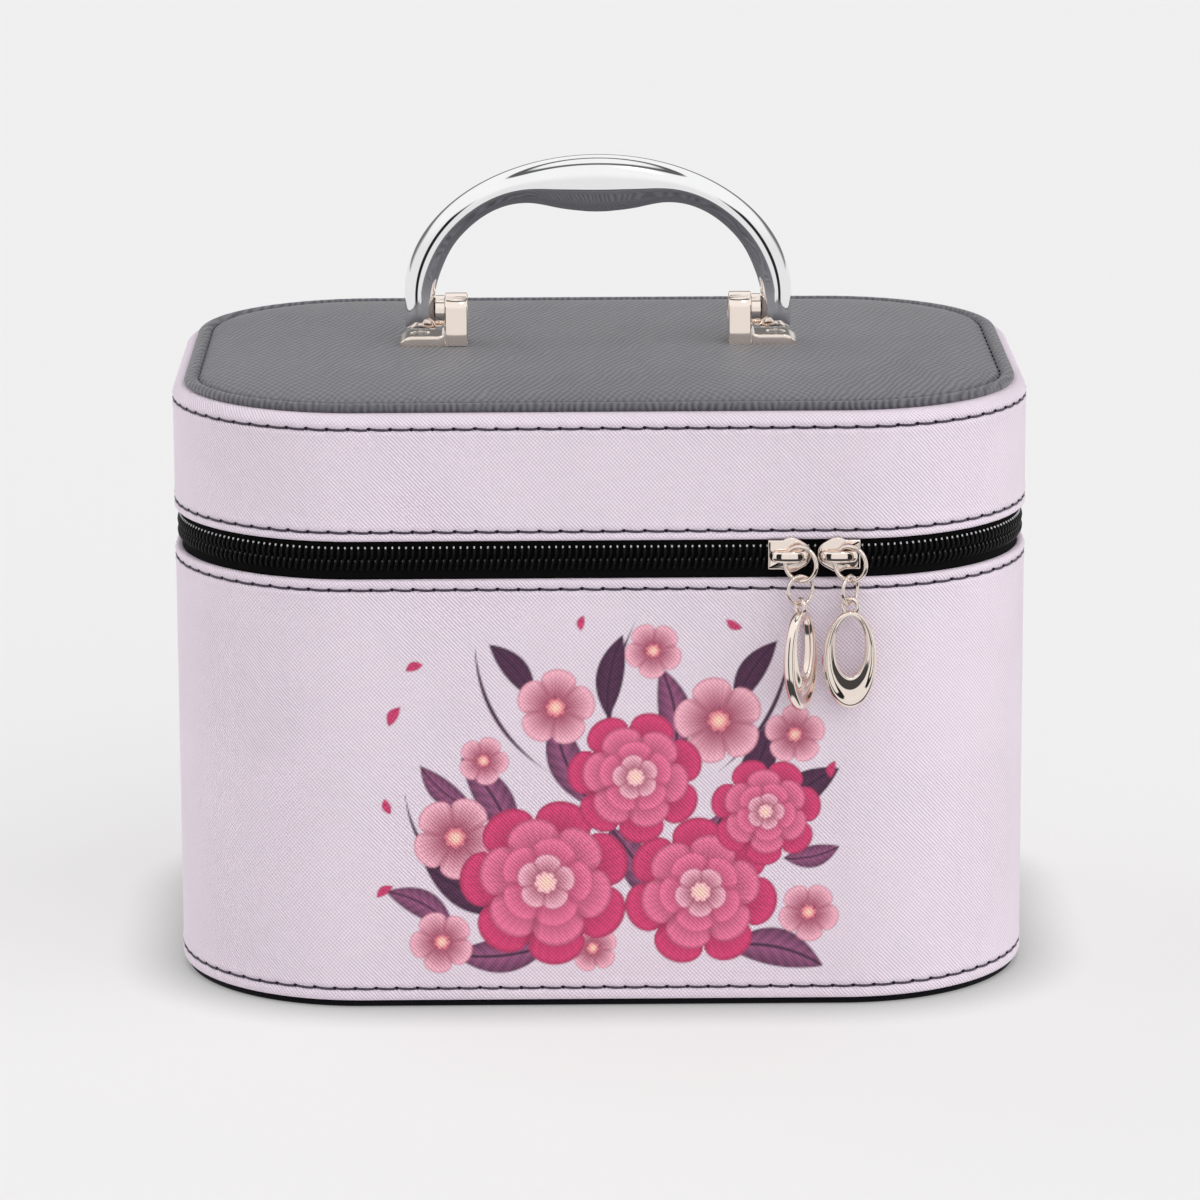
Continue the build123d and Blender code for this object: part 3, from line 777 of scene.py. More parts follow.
class RowTree(Wiring):
    """Geometry Nodes tree that sets one small bent tube, and maybe a needle hole, at each anchor."""

    SIZES = ("Length", "Thickness", "Bulge", "Slant", "Sag", "Sink", "Hole")

    def __init__(self, name: str, sides: int, bends: int) -> None:
        """Builds the tree.

        Args:
            name: Name of the tree.
            sides: Number of sides of each tube.
            bends: Number of spans along each tube.
        """
        super().__init__(bpy.data.node_groups.new(name, "GeometryNodeTree"))
        faces = self.tree.interface
        faces.new_socket("Anchors", in_out="INPUT", socket_type="NodeSocketGeometry")
        for key in (*self.SIZES, "Play"):
            faces.new_socket(key, in_out="INPUT", socket_type="NodeSocketFloat")
        faces.new_socket("Seed", in_out="INPUT", socket_type="NodeSocketInt")
        for key in ("Tube Finish", "Hole Finish"):
            faces.new_socket(key, in_out="INPUT", socket_type="NodeSocketMaterial")
        faces.new_socket("Row", in_out="OUTPUT", socket_type="NodeSocketGeometry")
        self.ins = {s.name: s for s in self.add("NodeGroupInput").outputs}
        self.wire(sides, bends)

    def wire(self, sides: int, bends: int) -> None:
        """Joins the anchors, the tube and the hole to the output."""
        turned = self.rotation()
        tube = self.spread(self.tube(sides, bends), turned, "Tube Finish")
        hole = self.spread(self.hole(), turned, "Hole Finish")
        joined = self.add("GeometryNodeJoinGeometry")
        for part in (tube, hole):
            self.tree.links.new(part, joined.inputs[0])
        self.feed(self.add("NodeGroupOutput").inputs[0], joined.outputs[0])

    def vector(self, x: Value = 0.0, y: Value = 0.0, z: Value = 0.0) -> bpy.types.NodeSocket:
        """A vector from three values."""
        return self.run("ShaderNodeCombineXYZ", {0: x, 1: y, 2: z})

    def attribute(self, name: str) -> bpy.types.NodeSocket:
        """A direction that the anchors carry."""
        return self.run("GeometryNodeInputNamedAttribute", {"Name": name}, data_type="FLOAT_VECTOR")

    def rotation(self) -> bpy.types.NodeSocket:
        """Turn of each piece: X along the row, Z out of the surface, with a little seeded play."""
        first = self.run("FunctionNodeAlignRotationToVector", {"Vector": self.attribute("along")}, axis="X")
        aligned = {"Rotation": first, "Vector": self.attribute("out")}
        second = self.run("FunctionNodeAlignRotationToVector", aligned, axis="Z", pivot_axis="X")
        low = self.math("MULTIPLY", self.ins["Play"], -1.0)
        limits = {2: low, 3: self.ins["Play"], 8: self.ins["Seed"]}
        play = self.run("FunctionNodeRandomValue", limits, 1, data_type="FLOAT")
        tilt = self.run("FunctionNodeAxisAngleToRotation", {"Axis": (0.0, 0.0, 1.0), "Angle": play})
        return self.run("FunctionNodeRotateRotation", {0: second, 1: tilt}, rotation_space="LOCAL")

    def tube(self, sides: int, bends: int) -> bpy.types.NodeSocket:
        """One bent tube along X, bulging out along Z and slanting along Y."""
        half = self.math("MULTIPLY", self.ins["Length"], 0.5)
        back = self.math("MULTIPLY", half, -1.0)
        low = self.math("MULTIPLY", self.ins["Sink"], -1.0)
        fall = self.math("MULTIPLY", self.ins["Slant"], -1.0)
        inputs = {
            "Resolution": bends,
            "Start": self.vector(back, self.ins["Slant"], low),
            "Middle": self.vector(0.0, self.math("MULTIPLY", self.ins["Sag"], -1.0), self.ins["Bulge"]),
            "End": self.vector(half, fall, low),
        }
        line = self.run("GeometryNodeCurveQuadraticBezier", inputs)
        section = self.run("GeometryNodeCurvePrimitiveCircle", {"Resolution": sides, "Radius": self.ins["Thickness"]})
        return self.run("GeometryNodeCurveToMesh", {"Curve": line, "Profile Curve": section, "Fill Caps": True})

    def hole(self) -> bpy.types.NodeSocket:
        """One flat dimple at the start of the tube; on stitch rows its dark finish is painted shade of the needle
        hole.
        """
        ball = self.run("GeometryNodeMeshUVSphere", {"Segments": 8, "Rings": 5, "Radius": self.ins["Hole"]})
        back = self.math("MULTIPLY", self.ins["Length"], -0.53)
        low = self.math("MULTIPLY", self.ins["Sink"], -0.4)
        moved = {"Geometry": ball, "Translation": self.vector(back, self.ins["Slant"], low), "Scale": (1.05, 0.8, 0.5)}
        return self.run("GeometryNodeTransform", moved)

    def spread(self, piece: bpy.types.NodeSocket, turned: bpy.types.NodeSocket, finish: str) -> bpy.types.NodeSocket:
        """One piece at each anchor, made real and given its finish."""
        smooth = self.run("GeometryNodeSetShadeSmooth", {0: piece})
        points = {"Points": self.ins["Anchors"], "Instance": smooth, "Rotation": turned}
        real = self.run("GeometryNodeRealizeInstances", {0: self.run("GeometryNodeInstanceOnPoints", points)})
        return self.run("GeometryNodeSetMaterial", {"Geometry": real, "Material": self.ins[finish]})

    def sew(self, name: str, anchors: Anchors, values: dict) -> bpy.types.Object:
        """Runs the tree on a row of anchors.

        Args:
            name: Name of the finished piece.
            anchors: Where the repeated pieces go.
            values: Values of the tree's inputs by name.

        Returns:
            A plain mesh object with the row in it.
        """
        holder = anchors.holder(name + "_anchors")
        modifier = holder.modifiers.new("row", "NODES")
        modifier.node_group = self.tree
        for item in self.tree.interface.items_tree:
            if item.item_type == "SOCKET" and item.in_out == "INPUT" and item.name in values:
                modifier[item.identifier] = values[item.name]
        graph = bpy.context.evaluated_depsgraph_get()
        mesh = bpy.data.meshes.new_from_object(holder.evaluated_get(graph))
        holder.modifiers.remove(modifier)
        bpy.data.objects.remove(holder)
        mesh.name = name
        outward(mesh)
        obj = bpy.data.objects.new(name, mesh)
        bpy.context.scene.collection.objects.link(obj)
        return obj


def outward(mesh: bpy.types.Mesh) -> None:
    """Turns every closed shell of a mesh to face outwards."""
    work = bmesh.new()
    work.from_mesh(mesh)
    bmesh.ops.recalc_face_normals(work, faces=work.faces[:])
    work.to_mesh(mesh)
    work.free()


@dataclass(frozen=True)
class StitchRow:
    """One row of stitches round the case, with the puckers that it draws into the leathercloth."""

    name: str
    level: float
    inset: float = 0.0
    count: int = 128
    gap: float = 0.8
    thread: float = 0.38
    groove: float = 0.34
    puff: float = 0.24
    dimple: float = 0.45
    seed: int = 5

    GROOVE_WIDTH = 0.75
    DIMPLE_LENGTH, DIMPLE_WIDTH = 0.7, 0.6
    PUFF_AT, PUFF_WIDTH = 1.5, 0.9

    def anchors(self, plan: CasePlan, upright: bool = True) -> Anchors:
        """Places of the stitches.

        Args:
            plan: Plan that the row follows.
            upright: Whether the row lies on the wall; otherwise it lies on the lid top.

        Returns:
            One anchor for each stitch.
        """
        along = (np.arange(self.count) + 0.5) * plan.length / self.count
        place = plan.ring(along, self.inset + (self.groove if upright else 0.0), self.level)
        normals, flat = plan.at(along)[1], np.zeros(self.count)
        tangent = np.column_stack([-normals[:, 1], normals[:, 0], flat])
        out = np.column_stack([normals, flat]) if upright else np.tile((0.0, 0.0, 1.0), (self.count, 1))
        return Anchors(place, tangent, out)

    def relief(self, plan: CasePlan, along: np.ndarray, off: np.ndarray) -> np.ndarray:
        """How far the leathercloth stands out near the row.

        Args:
            plan: Plan that the row follows.
            along: Distances along the edge.
            off: Distances from the row, across it.

        Returns:
            Distance outwards at each place, below zero in the groove and the needle holes.
        """
        pitch = plan.length / self.count
        near = np.abs((along / pitch + 0.5) % 1.0 - 0.5) * pitch
        swell = 0.55 - 0.45 * np.cos(2 * np.pi * along / pitch)
        groove = -self.groove * np.exp(-((off / self.GROOVE_WIDTH) ** 2))
        dimple = -self.dimple * np.exp(-((near / self.DIMPLE_LENGTH) ** 2) - (off / self.DIMPLE_WIDTH) ** 2)
        above, below = (np.exp(-(((off - at) / self.PUFF_WIDTH) ** 2)) for at in (self.PUFF_AT, -self.PUFF_AT))
        return groove + dimple + self.puff * swell * (above + below)

    def values(self, plan: CasePlan, thread: bpy.types.Material, hole: bpy.types.Material) -> dict:
        """Inputs of the row's Geometry Nodes tree."""
        return RowSizes(
            length=plan.length / self.count - self.gap, thickness=self.thread, bulge=0.42, slant=0.12, sag=0.22,
            sink=0.16, hole=0.66, play=math.radians(2.0), seed=self.seed,
        ).values(thread, hole)


# ---------------------------------------------------------------- sub-assemblies
@dataclass
class SubAssembly:
    """What every part of the case shares: its plan, its finishes and its trees."""

    plan: CasePlan
    finishes: Finishes
    stitches: RowTree
    loops: RowTree

    STEPS = 8
    STITCHES = 128
    CUP_STATIONS = 360
    OUTSIDE = 1.0

    def stations(self) -> np.ndarray:
        """Stations round the whole case, several to each stitch."""
        count = self.STITCHES * self.STEPS
        return np.arange(count) * self.plan.length / count

    @staticmethod
    def keep(
        obj: bpy.types.Object, body: Body, slot: Slot, *nodes: str, finish: Optional[bpy.types.Material] = None
    ) -> None:
        """Puts a finished piece on its body and hides the CAD nodes that it replaces.

        Args:
            obj: The piece.
            body: Body that it rides on.
            slot: Material slot; not used.
            nodes: CAD nodes that it replaces.
            finish: Material, unless the piece has its own already.
        """
        if finish is not None:
            dress(obj, finish)
        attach(obj, body.value)
        if nodes:
            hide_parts(*nodes)
        LOG.info("%s on %s: %d faces", obj.name, body.value, len(obj.data.polygons))

    def swept(self, name: str, profile: list[Point], rows: tuple[StitchRow, ...]) -> bpy.types.Object:
        """A closed profile swept round the case.

        Args:
            name: Name of the piece.
            profile: Insets and levels, up the outside and down the inside.
            rows: Stitch rows that draw the outside in.

        Returns:
            The new object.
        """
        along = self.stations()
        grid = []
        for inset, level in profile:
            out = np.zeros_like(along)
            for row in rows if inset < self.OUTSIDE else ():
                out = out + row.relief(self.plan, along, np.full_like(along, level - row.level))
            grid.append(self.plan.ring(along, inset - out, level))
        reach = np.append(along, self.plan.length) * MM
        return Skin(name, np.array(grid), profile_lengths(profile), reach).build()

    def cup(self, name: str, profile: list[Point], first_level: float, last_level: float) -> bpy.types.Object:
        """An open profile swept round the case and closed to the middle at both ends."""
        along = np.arange(self.CUP_STATIONS) * self.plan.length / self.CUP_STATIONS
        grid = [self.plan.ring(along, inset, level) for inset, level in profile]
        reach = np.append(along, self.plan.length) * MM
        middles = [(0.0, 0.0, level * MM) for level in (first_level, last_level)]
        return Skin(name, np.array(grid), profile_lengths(profile), reach, True, False, *middles).build()

    def sew(self, row: StitchRow, body: Body, slot: Slot, upright: bool = True) -> None:
        """Sews one row of stitches."""
        thread = self.finishes.thread if upright else self.finishes.dark_thread
        values = row.values(self.plan, thread, self.finishes.hole)
        self.keep(self.stitches.sew(row.name, row.anchors(self.plan, upright), values), body, slot)


@dataclass
class CoveredPart(SubAssembly):
    """Sizes that the body and the lid share: cover, hem, wall board and lining, as insets and thicknesses."""

    wrap: float = 1.2
    hem: float = 2.2
    hem_height: float = 8.0
    hem_round: float = 0.6
    lip_round: float = 0.95
    turn_in: float = 11.0
    board_in: float = 3.9
    lining: float = 0.9
    lining_round: float = 3.0
    tape_in: float = 2.8
    middle_in: float = 50.0


@dataclass
class CaseBody(CoveredPart):
    """Lower part of the case: cover, base and lining."""

    foot: float = 2.0
    rim: float = 122.8
    lip: float = 122.2
    floor: float = 5.2
    base_in: float = 1.4
    print_half: float = 66.5
    print_levels: Point = (9.6, 115.4)
    print_film: float = 0.03
    print_grid: tuple[int, int] = (317, 253)

    # levels of the cover's grid lines, close together at the stitch rows
    FOOT_LEVELS = (3.2, 3.9, 4.4, 4.9, 5.3, 5.7, 6.1, 6.6, 7.1, 7.7, 8.5, 9.5, 12.0)
    RIM_LEVELS = (115.5, 116.6, 117.3, 117.9, 118.4, 118.9, 119.2, 119.6, 120.0, 120.4, 120.8, 121.1)

    def rows(self) -> tuple[StitchRow, StitchRow]:
        """Stitch rows near the rim and near the foot."""
        return StitchRow("body_rim_stitches", self.rim - 3.4), StitchRow("body_foot_stitches", self.foot + 3.5, seed=9)

    def wrap_profile(self) -> list[Point]:
        """Cover from the edge turned in under the base, up the wall, over the hem and down behind it."""
        soft, hem = self.lip_round, self.hem_round
        out = [(self.turn_in, self.foot), (6.0, self.foot), *arc((1.0, self.foot + 1.0), 1.0, 270, 180, 6)]
        out += [(0.0, level) for level in (*self.FOOT_LEVELS, *np.linspace(18.0, 112.0, 14), *self.RIM_LEVELS)]
        out += arc((soft, self.lip - soft), soft, 180, 90, 7)
        out += arc((self.hem - hem, self.lip - hem), hem, 90, 0, 4)
        out += [(self.hem, self.rim - self.hem_height), (self.wrap, self.rim - self.hem_height)]
        return out + [(self.wrap, self.foot + self.wrap), (self.turn_in, self.foot + self.wrap)]

    def build_print(self) -> bpy.types.Object:
        """Printed front of the cover: a film on the flat of the front, with the spray in a colour layer."""
        columns, rows = self.print_grid
        x = np.linspace(-self.print_half, self.print_half, columns)
        z = np.linspace(*self.print_levels, rows)
        profile = self.wrap_profile()
        levels, lengths = zip(*((p[1], d) for p, d in zip(profile, profile_lengths(profile)) if p[0] == 0.0))
        face, behind = -self.plan.depth / 2 - self.print_film, -self.plan.depth / 2 + 0.1
        places = [*((face, level) for level in z), (behind, z[-1]), (behind, z[0])]
        grid = [np.column_stack([x, np.full_like(x, y), np.full_like(x, level)]) * MM for y, level in places]
        across = np.interp(z, levels, lengths)
        across = np.append(across, [across[-1], across[0], across[0]])
        along = (self.plan.length / 2 + x) * MM
        film = Skin("body_front_print", np.array(grid), across, along, around=False, sharp_deg=30).build()
        points = np.empty(len(film.data.vertices) * 3, np.float32)
        film.data.vertices.foreach_get("co", points)
        points = points.reshape(-1, 3).astype(float) / MM
        plain = np.tile(np.array(self.finishes.lilac_tone), (len(points), 1))
        colours = SprayPrint(points[:, 0], points[:, 2], plain).spray()
        layer = film.data.color_attributes.new(SprayPrint.LAYER, "FLOAT_COLOR", "POINT")
        layer.data.foreach_set("color", np.insert(colours, 3, 1.0, axis=1).astype(np.float32).ravel())
        return film

    def lining_profile(self) -> list[Point]:
        """Lining from under the floor, up behind the wall, over the rim and down to the floor."""
        inner, soft, bend = self.board_in + self.lining, self.hem_round, self.lining_round
        top, ground = self.rim, self.floor + self.lining
        out = [(self.middle_in, self.floor), (self.board_in + 0.8, self.floor), (self.board_in, self.floor + 0.8)]
        out += [(self.board_in, top - self.lining), (self.tape_in + 0.05, top - self.lining)]
        out += arc((self.tape_in + 0.5, top - 0.5), 0.45, 180, 90, 4)
        out += arc((inner - soft, top - soft), soft, 90, 0, 5)
        out += [(inner, level) for level in np.linspace(top - 6, self.floor + 6, 12)]
        out += arc((inner + bend, ground + bend), bend, 180, 270, 7)
        return out + [(inset, ground) for inset in (20.0, 35.0, self.middle_in)]

    def base_profile(self) -> list[Point]:
        """Dark cover under the base, with a soft lower edge."""
        low, high = 0.7, 0.3
        out = [(self.middle_in, 0.0), (20.0, 0.0), *arc((self.base_in + low, low), low, 270, 180, 5)]
        out += arc((self.base_in + high, self.foot - high), high, 180, 90, 3)
        return out + [(20.0, self.foot), (self.middle_in, self.foot)]

    def build(self) -> None:
        """Makes and dresses the pieces."""
        rows = self.rows()
        wrap = self.swept("body_cover", self.wrap_profile(), rows)
        self.keep(wrap, Body.CASE, Slot.LILAC, "body_wrap", finish=self.finishes.lilac)
        self.keep(self.build_print(), Body.CASE, Slot.LILAC, finish=self.finishes.printed_lilac)
        for row in rows:
            self.sew(row, Body.CASE, Slot.LILAC)
        base = self.cup("base_underside", self.base_profile(), 0.0, self.foot)
        self.keep(base, Body.CASE, Slot.BASE, "base_cover", finish=self.finishes.base)
        lining = self.cup("case_lining", self.lining_profile(), self.floor, self.floor + self.lining)
        self.keep(lining, Body.CASE, Slot.LINING, "body_lining", finish=self.finishes.lining)


@dataclass
class CaseLid(CoveredPart):
    """Lid: cover band, padded top and lining."""

    rim: float = 133.0
    top: float = 168.3
    edge: float = 3.0
    ceiling: float = 164.8
    channel: float = 7.4
    crown_top: float = 3.85
    crown_from: Point = (9.0, 19.0)
    uneven: float = 0.22
    sewn_from: float = 3.6

    # heights of the cover's grid lines above the rim and below the top, close together at the stitch rows
    RIM_LEVELS = (1.4, 1.8, 2.1, 2.4, 2.7, 3.1, 3.6, 4.1, 4.6, 5.3, 6.5, 9.0, 14.0, 20.0, 25.0)
    EDGE_LEVELS = (6.8, 6.0, 5.4, 4.9, 4.5, 4.2, 3.9, 3.6, 3.3)
    BEAD = ((3.8, 0.0), (3.3, 0.9), (3.8, 1.8), (5.1, 2.3), (6.5, 1.9), (7.4, 1.3))
    CROWN = ((8.6, 1.9), (12.0, 2.6), (19.0, 3.2), (30.0, 3.6), (44.0, 3.8))

    def rows(self) -> tuple[StitchRow, StitchRow]:
        """Stitch rows near the rim and under the top edge."""
        rim = StitchRow("lid_rim_stitches", self.rim + 2.6, seed=13)
        return rim, StitchRow("lid_edge_stitches", self.top - 4.0, seed=17)

    def wrap_profile(self) -> list[Point]:
        """Cover band from the hem, up the wall and over the round edge to the turned-in part."""
        low, high, soft, hem = self.rim, self.top, self.lip_round, self.hem_round
        out = [(self.hem, low + hem), *arc((self.hem - hem, low + hem), hem, 0, -90, 4)]
        out += arc((soft, low + soft), soft, 270, 180, 7)
        out += [(0.0, low + level) for level in self.RIM_LEVELS]
        out += [(0.0, high - level) for level in self.EDGE_LEVELS]
        out += [*arc((self.edge, high - self.edge), self.edge, 180, 90, 14), (7.0, high), (self.turn_in, high)]
        inner = self.edge - self.wrap
        out += [(self.turn_in, high - self.wrap), *arc((self.edge, high - self.edge), inner, 90, 180, 5)]
        return out + [(self.wrap, low + self.hem_height), (self.hem, low + self.hem_height)]

    def build_top(self) -> bpy.types.Object:
        """Padded top cover: rolled bead, sewn channel, low crown and a slightly uneven surface."""
        along = self.stations()
        profile = smooth_curve([*self.BEAD, *self.CROWN, (self.middle_in, self.crown_top)], 5)
        row = self.panel_row()
        start, full = self.crown_from
        points, normals = self.plan.at(along)
        grid = []
        for inset, height in profile:
            flat = points - normals * inset
            rise = np.full(len(along), height)
            if inset > self.sewn_from:
                rise = rise + row.relief(self.plan, along, np.full(len(along), inset - row.inset)) * 0.8
                weight = min(1.0, max(0.0, (inset - start) / (full - start)))
                rise = rise + weight * self.uneven * self.waves(flat)
            grid.append(np.column_stack([flat, self.top + rise]) * MM)
        for share in (0.82, 0.62, 0.42, 0.22):
            flat = (points - normals * self.middle_in) * share
            grid.append(np.column_stack([flat, self.top + self.crown_top + self.uneven * self.waves(flat)]) * MM)
        reach = np.append(along, self.plan.length) * MM
        lengths = np.arange(len(grid) + 1) * MM
        ends = ((0.0, 0.0, self.top * MM), (0.0, 0.0, (self.top + self.crown_top) * MM))
        return Skin("lid_padded_top", np.array(grid), lengths, reach, True, False, *ends).build()

    @staticmethod
    def waves(flat: np.ndarray) -> np.ndarray:
        """Slow unevenness of the padding, from about -1 to 1."""
        return np.array([noise.noise((x * 0.03, y * 0.035, 4.7)) for x, y in flat])

    def panel_row(self) -> StitchRow:
        """Stitch row in the channel of the padded top."""
        return StitchRow(
            "lid_panel_stitches", self.top + 1.05, self.channel, gap=1.9, thread=0.28, groove=0.25, puff=0.12,
            dimple=0.35, seed=21,
        )

    def lining_profile(self) -> list[Point]:
        """Lining from the ceiling, down the wall, round the rim and up behind the wall."""
        inner, soft, bend = self.board_in + self.lining, self.hem_round, self.lining_round
        low, high = self.rim, self.ceiling
        out = [(self.middle_in, high - self.lining), (30.0, high - self.lining)]
        out += arc((inner + bend, high - self.lining - bend), bend, 90, 180, 7)
        out += [(inner, level) for level in np.linspace(high - 8, low + 4, 5)]
        out += arc((inner - soft, low + soft), soft, 0, -90, 4)
        out += arc((self.tape_in + 0.5, low + 0.5), 0.45, 270, 180, 4)
        out += [(self.tape_in + 0.05, low + self.lining), (self.board_in, low + self.lining)]
        return out + [(self.board_in, high - 0.8), (self.board_in + 0.8, high), (self.middle_in, high)]

    def build(self) -> None:
        """Makes and dresses the pieces."""
        rows = self.rows()
        wrap = self.swept("lid_cover", self.wrap_profile(), rows)
        self.keep(wrap, Body.LID, Slot.LILAC, "lid_wrap", finish=self.finishes.lilac)
        for row in rows:
            self.sew(row, Body.LID, Slot.LILAC)
        top = self.build_top()
        self.keep(top, Body.LID, Slot.CHARCOAL, "lid_top_cover", "lid_foam", finish=self.finishes.charcoal)
        self.sew(self.panel_row(), Body.LID, Slot.CHARCOAL, upright=False)
        lining = self.cup("lid_inside_lining", self.lining_profile(), self.ceiling - self.lining, self.ceiling)
        self.keep(lining, Body.LID, Slot.LINING, "lid_lining", finish=self.finishes.lining)


@dataclass
class ZipHalf(SubAssembly):
    """One half of the zip: woven tape and wound coil."""

    half: Half = Half.LOWER
    middle: float = 127.9
    slit: float = 0.5
    hem: float = 2.2
    tape: float = 0.6
    edge: float = 13.1
    coil_height: float = 3.1
    pitch: float = 1.87
    end_x: float = 56.0
    tape_stations: int = 420

    @property
    def upper(self) -> bool:
        """Whether this half is on the lid."""
        return self.half is Half.UPPER

    @property
    def side(self) -> str:
        """Word for this half in the names of its pieces."""
        return self.half.name.lower()

    def stretch(self) -> Point:
        """First and last distance along the edge between the zip's two ends at the back."""
        return self.end_x, self.plan.length - self.end_x

    def build_tape(self) -> bpy.types.Object:
        """Tape behind the hem, reaching to the slit with a rolled edge."""
        first, last = self.stretch()
        along = np.linspace(first, last, self.tape_stations)
        up = self.half.value
        near, far = self.middle + up * self.slit, self.middle + up * self.edge
        low, high = min(near, far), max(near, far)
        back = self.hem + self.tape
        profile = [(self.hem, level) for level in np.linspace(low, high, 8)] + [(back, high), (back, low)]
        grid = np.array([self.plan.ring(along, inset, level) for inset, level in profile])
        name = f"zip_tape_{self.side}_weave"
        return Skin(name, grid, profile_lengths(profile), along * MM, around=False, sharp_deg=35).build()

    def coil_anchors(self, lift: Optional[float] = None, stand: float = 1.35) -> Anchors:
        """Anchors of the coil loops, turned so that each tube stands across the tape.

        Args:
            lift: Distance of the anchors from the middle of the zip; half a loop unless given.
            stand: Distance of the anchors behind the wall.

        Returns:
            One anchor for each loop.
        """
        first, last = self.stretch()
        count = int((last - first - 2) / self.pitch)
        shift = 0.25 if self.upper else -0.25
        along = (first + last) / 2 + (np.arange(count) - (count - 1) / 2 + shift) * self.pitch
        up = self.half.value
        level = self.middle + up * (self.coil_height / 2 - 0.05 if lift is None else lift)
        across = np.tile((0.0, 0.0, float(up)), (count, 1))
        out = np.column_stack([self.plan.at(along)[1], np.zeros(count)])
        return Anchors(self.plan.ring(along, stand, level), across, out)

    def build_coil(self) -> bpy.types.Object:
        """Row of nylon loops on the tape."""
        slant = 0.08 if self.upper else 0.42
        sizes = RowSizes(
            length=self.coil_height + 0.1, thickness=0.5, bulge=1.25, slant=slant, sink=0.62, hole=0.36, seed=3
        )
        values = sizes.values(self.finishes.coil, self.finishes.coil)
        return self.loops.sew(f"zip_coil_{self.side}_loops", self.coil_anchors(), values)

    def build_painted_highlight_turns(self) -> bpy.types.Object:
        """Row of rounded turns where the loops bend back, coloured as painted highlights: bright at the upper edge,
        dull grey near the slit below.
        """
        if self.upper:
            finish, thickness, anchors = self.finishes.painted_coil_highlight, 0.27, self.coil_anchors(lift=3.0, stand=1.5)
        else:
            finish, thickness, anchors = self.finishes.painted_coil_dim_highlight, 0.22, self.coil_anchors(lift=0.65, stand=1.1)
        sizes = RowSizes(length=0.7, thickness=thickness, bulge=0.3, sink=0.1, hole=0.2, play=0.1, seed=8)
        return self.loops.sew(f"zip_coil_{self.side}_turns", anchors, sizes.values(finish, self.finishes.coil))

    def build(self) -> None:
        """Makes and dresses the pieces."""
        body = Body.LID if self.upper else Body.CASE
        self.keep(self.build_painted_highlight_turns(), body, Slot.COIL)
        self.keep(self.build_tape(), body, Slot.TAPE, f"zip_tape_{self.side}", finish=self.finishes.tape)
        self.keep(self.build_coil(), body, Slot.COIL, f"zip_coil_{self.side}")


@dataclass
class BackHinge(SubAssembly):
    """Soft strip across the gap at the back, on which the lid turns."""

    width: float = 122.0
    height: float = 36.0
    thickness: float = 1.0
    corner: float = 5.0
    middle: float = 127.9
    gap: Point = (122.8, 133.0)
    seam: float = 3.0
    pitch: float = 5.6
    grid: tuple[int, int] = (41, 37)
    soft_edge: float = 1.2

    def build_strip(self) -> bpy.types.Object:
        """The strip as a soft-edged slab with level grid lines."""
        back = self.plan.depth / 2
        n, m = self.grid
        verts, faces, uvs = [], [], []
        for side in (0, 1):
            for z in np.linspace(-self.height / 2, self.height / 2, m):
                reach = self.half_width(z)
                for c in np.linspace(-1, 1, n):
                    from_end, from_rim = self.width / 2 * (1 - abs(c)), self.height / 2 - abs(z)
                    soft = min(1.0, (from_end + 0.2) / self.soft_edge, (from_rim + 0.2) / self.soft_edge)
                    y = back + (0.02 if side == 0 else self.thickness * (0.55 + 0.45 * soft))
                    verts.append((c * reach * MM, y * MM, (self.middle + z) * MM))
        for side in (0, 1):
            for i in range(m - 1):
                for j in range(n - 1):
                    a = side * m * n + i * n + j
                    quad = (a, a + 1, a + n + 1, a + n)
                    self.add_face(verts, faces, uvs, quad if side == 0 else quad[::-1])
        ring = [*range(n)] + [i * n + n - 1 for i in range(1, m)]
        ring += [(m - 1) * n + j for j in reversed(range(n - 1))] + [i * n for i in reversed(range(1, m - 1))]
        for a, b in zip(ring, ring[1:] + ring[:1]):
            self.add_face(verts, faces, uvs, (b, a, a + m * n, b + m * n))
        return mesh_object("back_hinge_strip", verts, faces, uvs, 60)

    def half_width(self, z: float) -> float:
        """Half width of the strip at a height from its middle, with rounded corners."""
        over = max(0.0, abs(z) - (self.height / 2 - self.corner))
        return self.width / 2 - self.corner + math.sqrt(max(self.corner**2 - over**2, 0.0))

    @staticmethod
    def add_face(verts: list, faces: list, uvs: list, corners: tuple) -> None:
        """Adds a face with flat coordinates of the back as its UV."""
        faces.append(tuple(corners))
        uvs.extend((verts[i][0], verts[i][2]) for i in corners)

    def stitch_anchors(self, half: Half) -> Anchors:
        """Stitches along the three sides of one half of the strip, clear of the gap."""
        reach, rise = self.width / 2 - self.seam, self.height / 2 - self.seam
        count = round(2 * reach / self.pitch)
        step = 2 * reach / count
        level = [(step * (i + 0.5) - reach, rise) for i in range(count)]
        spots = np.array([(-reach, rise - step / 2), *level, (reach, rise - step / 2)])
        ways = np.array([(0.0, 1.0), *[(1.0, 0.0)] * count, (0.0, -1.0)]) * (1.0, half.value)
        back = np.full(count + 2, self.plan.depth / 2 + self.thickness - 0.1)
        place = np.column_stack([spots[:, 0], back, self.middle + half.value * spots[:, 1]]) * MM
        along = np.column_stack([ways[:, 0], np.zeros(count + 2), ways[:, 1]])
        return Anchors(place, along, np.tile((0.0, 1.0, 0.0), (count + 2, 1)))

    def build(self) -> None:
        """Makes and dresses the pieces."""
        strip = self.build_strip()
        dress(strip, self.finishes.lilac)
        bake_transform(strip)
        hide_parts("hinge_strip")
        LOG.info("%s across case and lid", strip.name)
        row = StitchRow("strip", 0.0)
        values = row.values(self.plan, self.finishes.thread, self.finishes.hole)
        for half, body in ((Half.LOWER, Body.CASE), (Half.UPPER, Body.LID)):
            name = f"hinge_strip_stitches_{half.name.lower()}"
            self.keep(self.stitches.sew(name, self.stitch_anchors(half), values), body, Slot.LILAC)


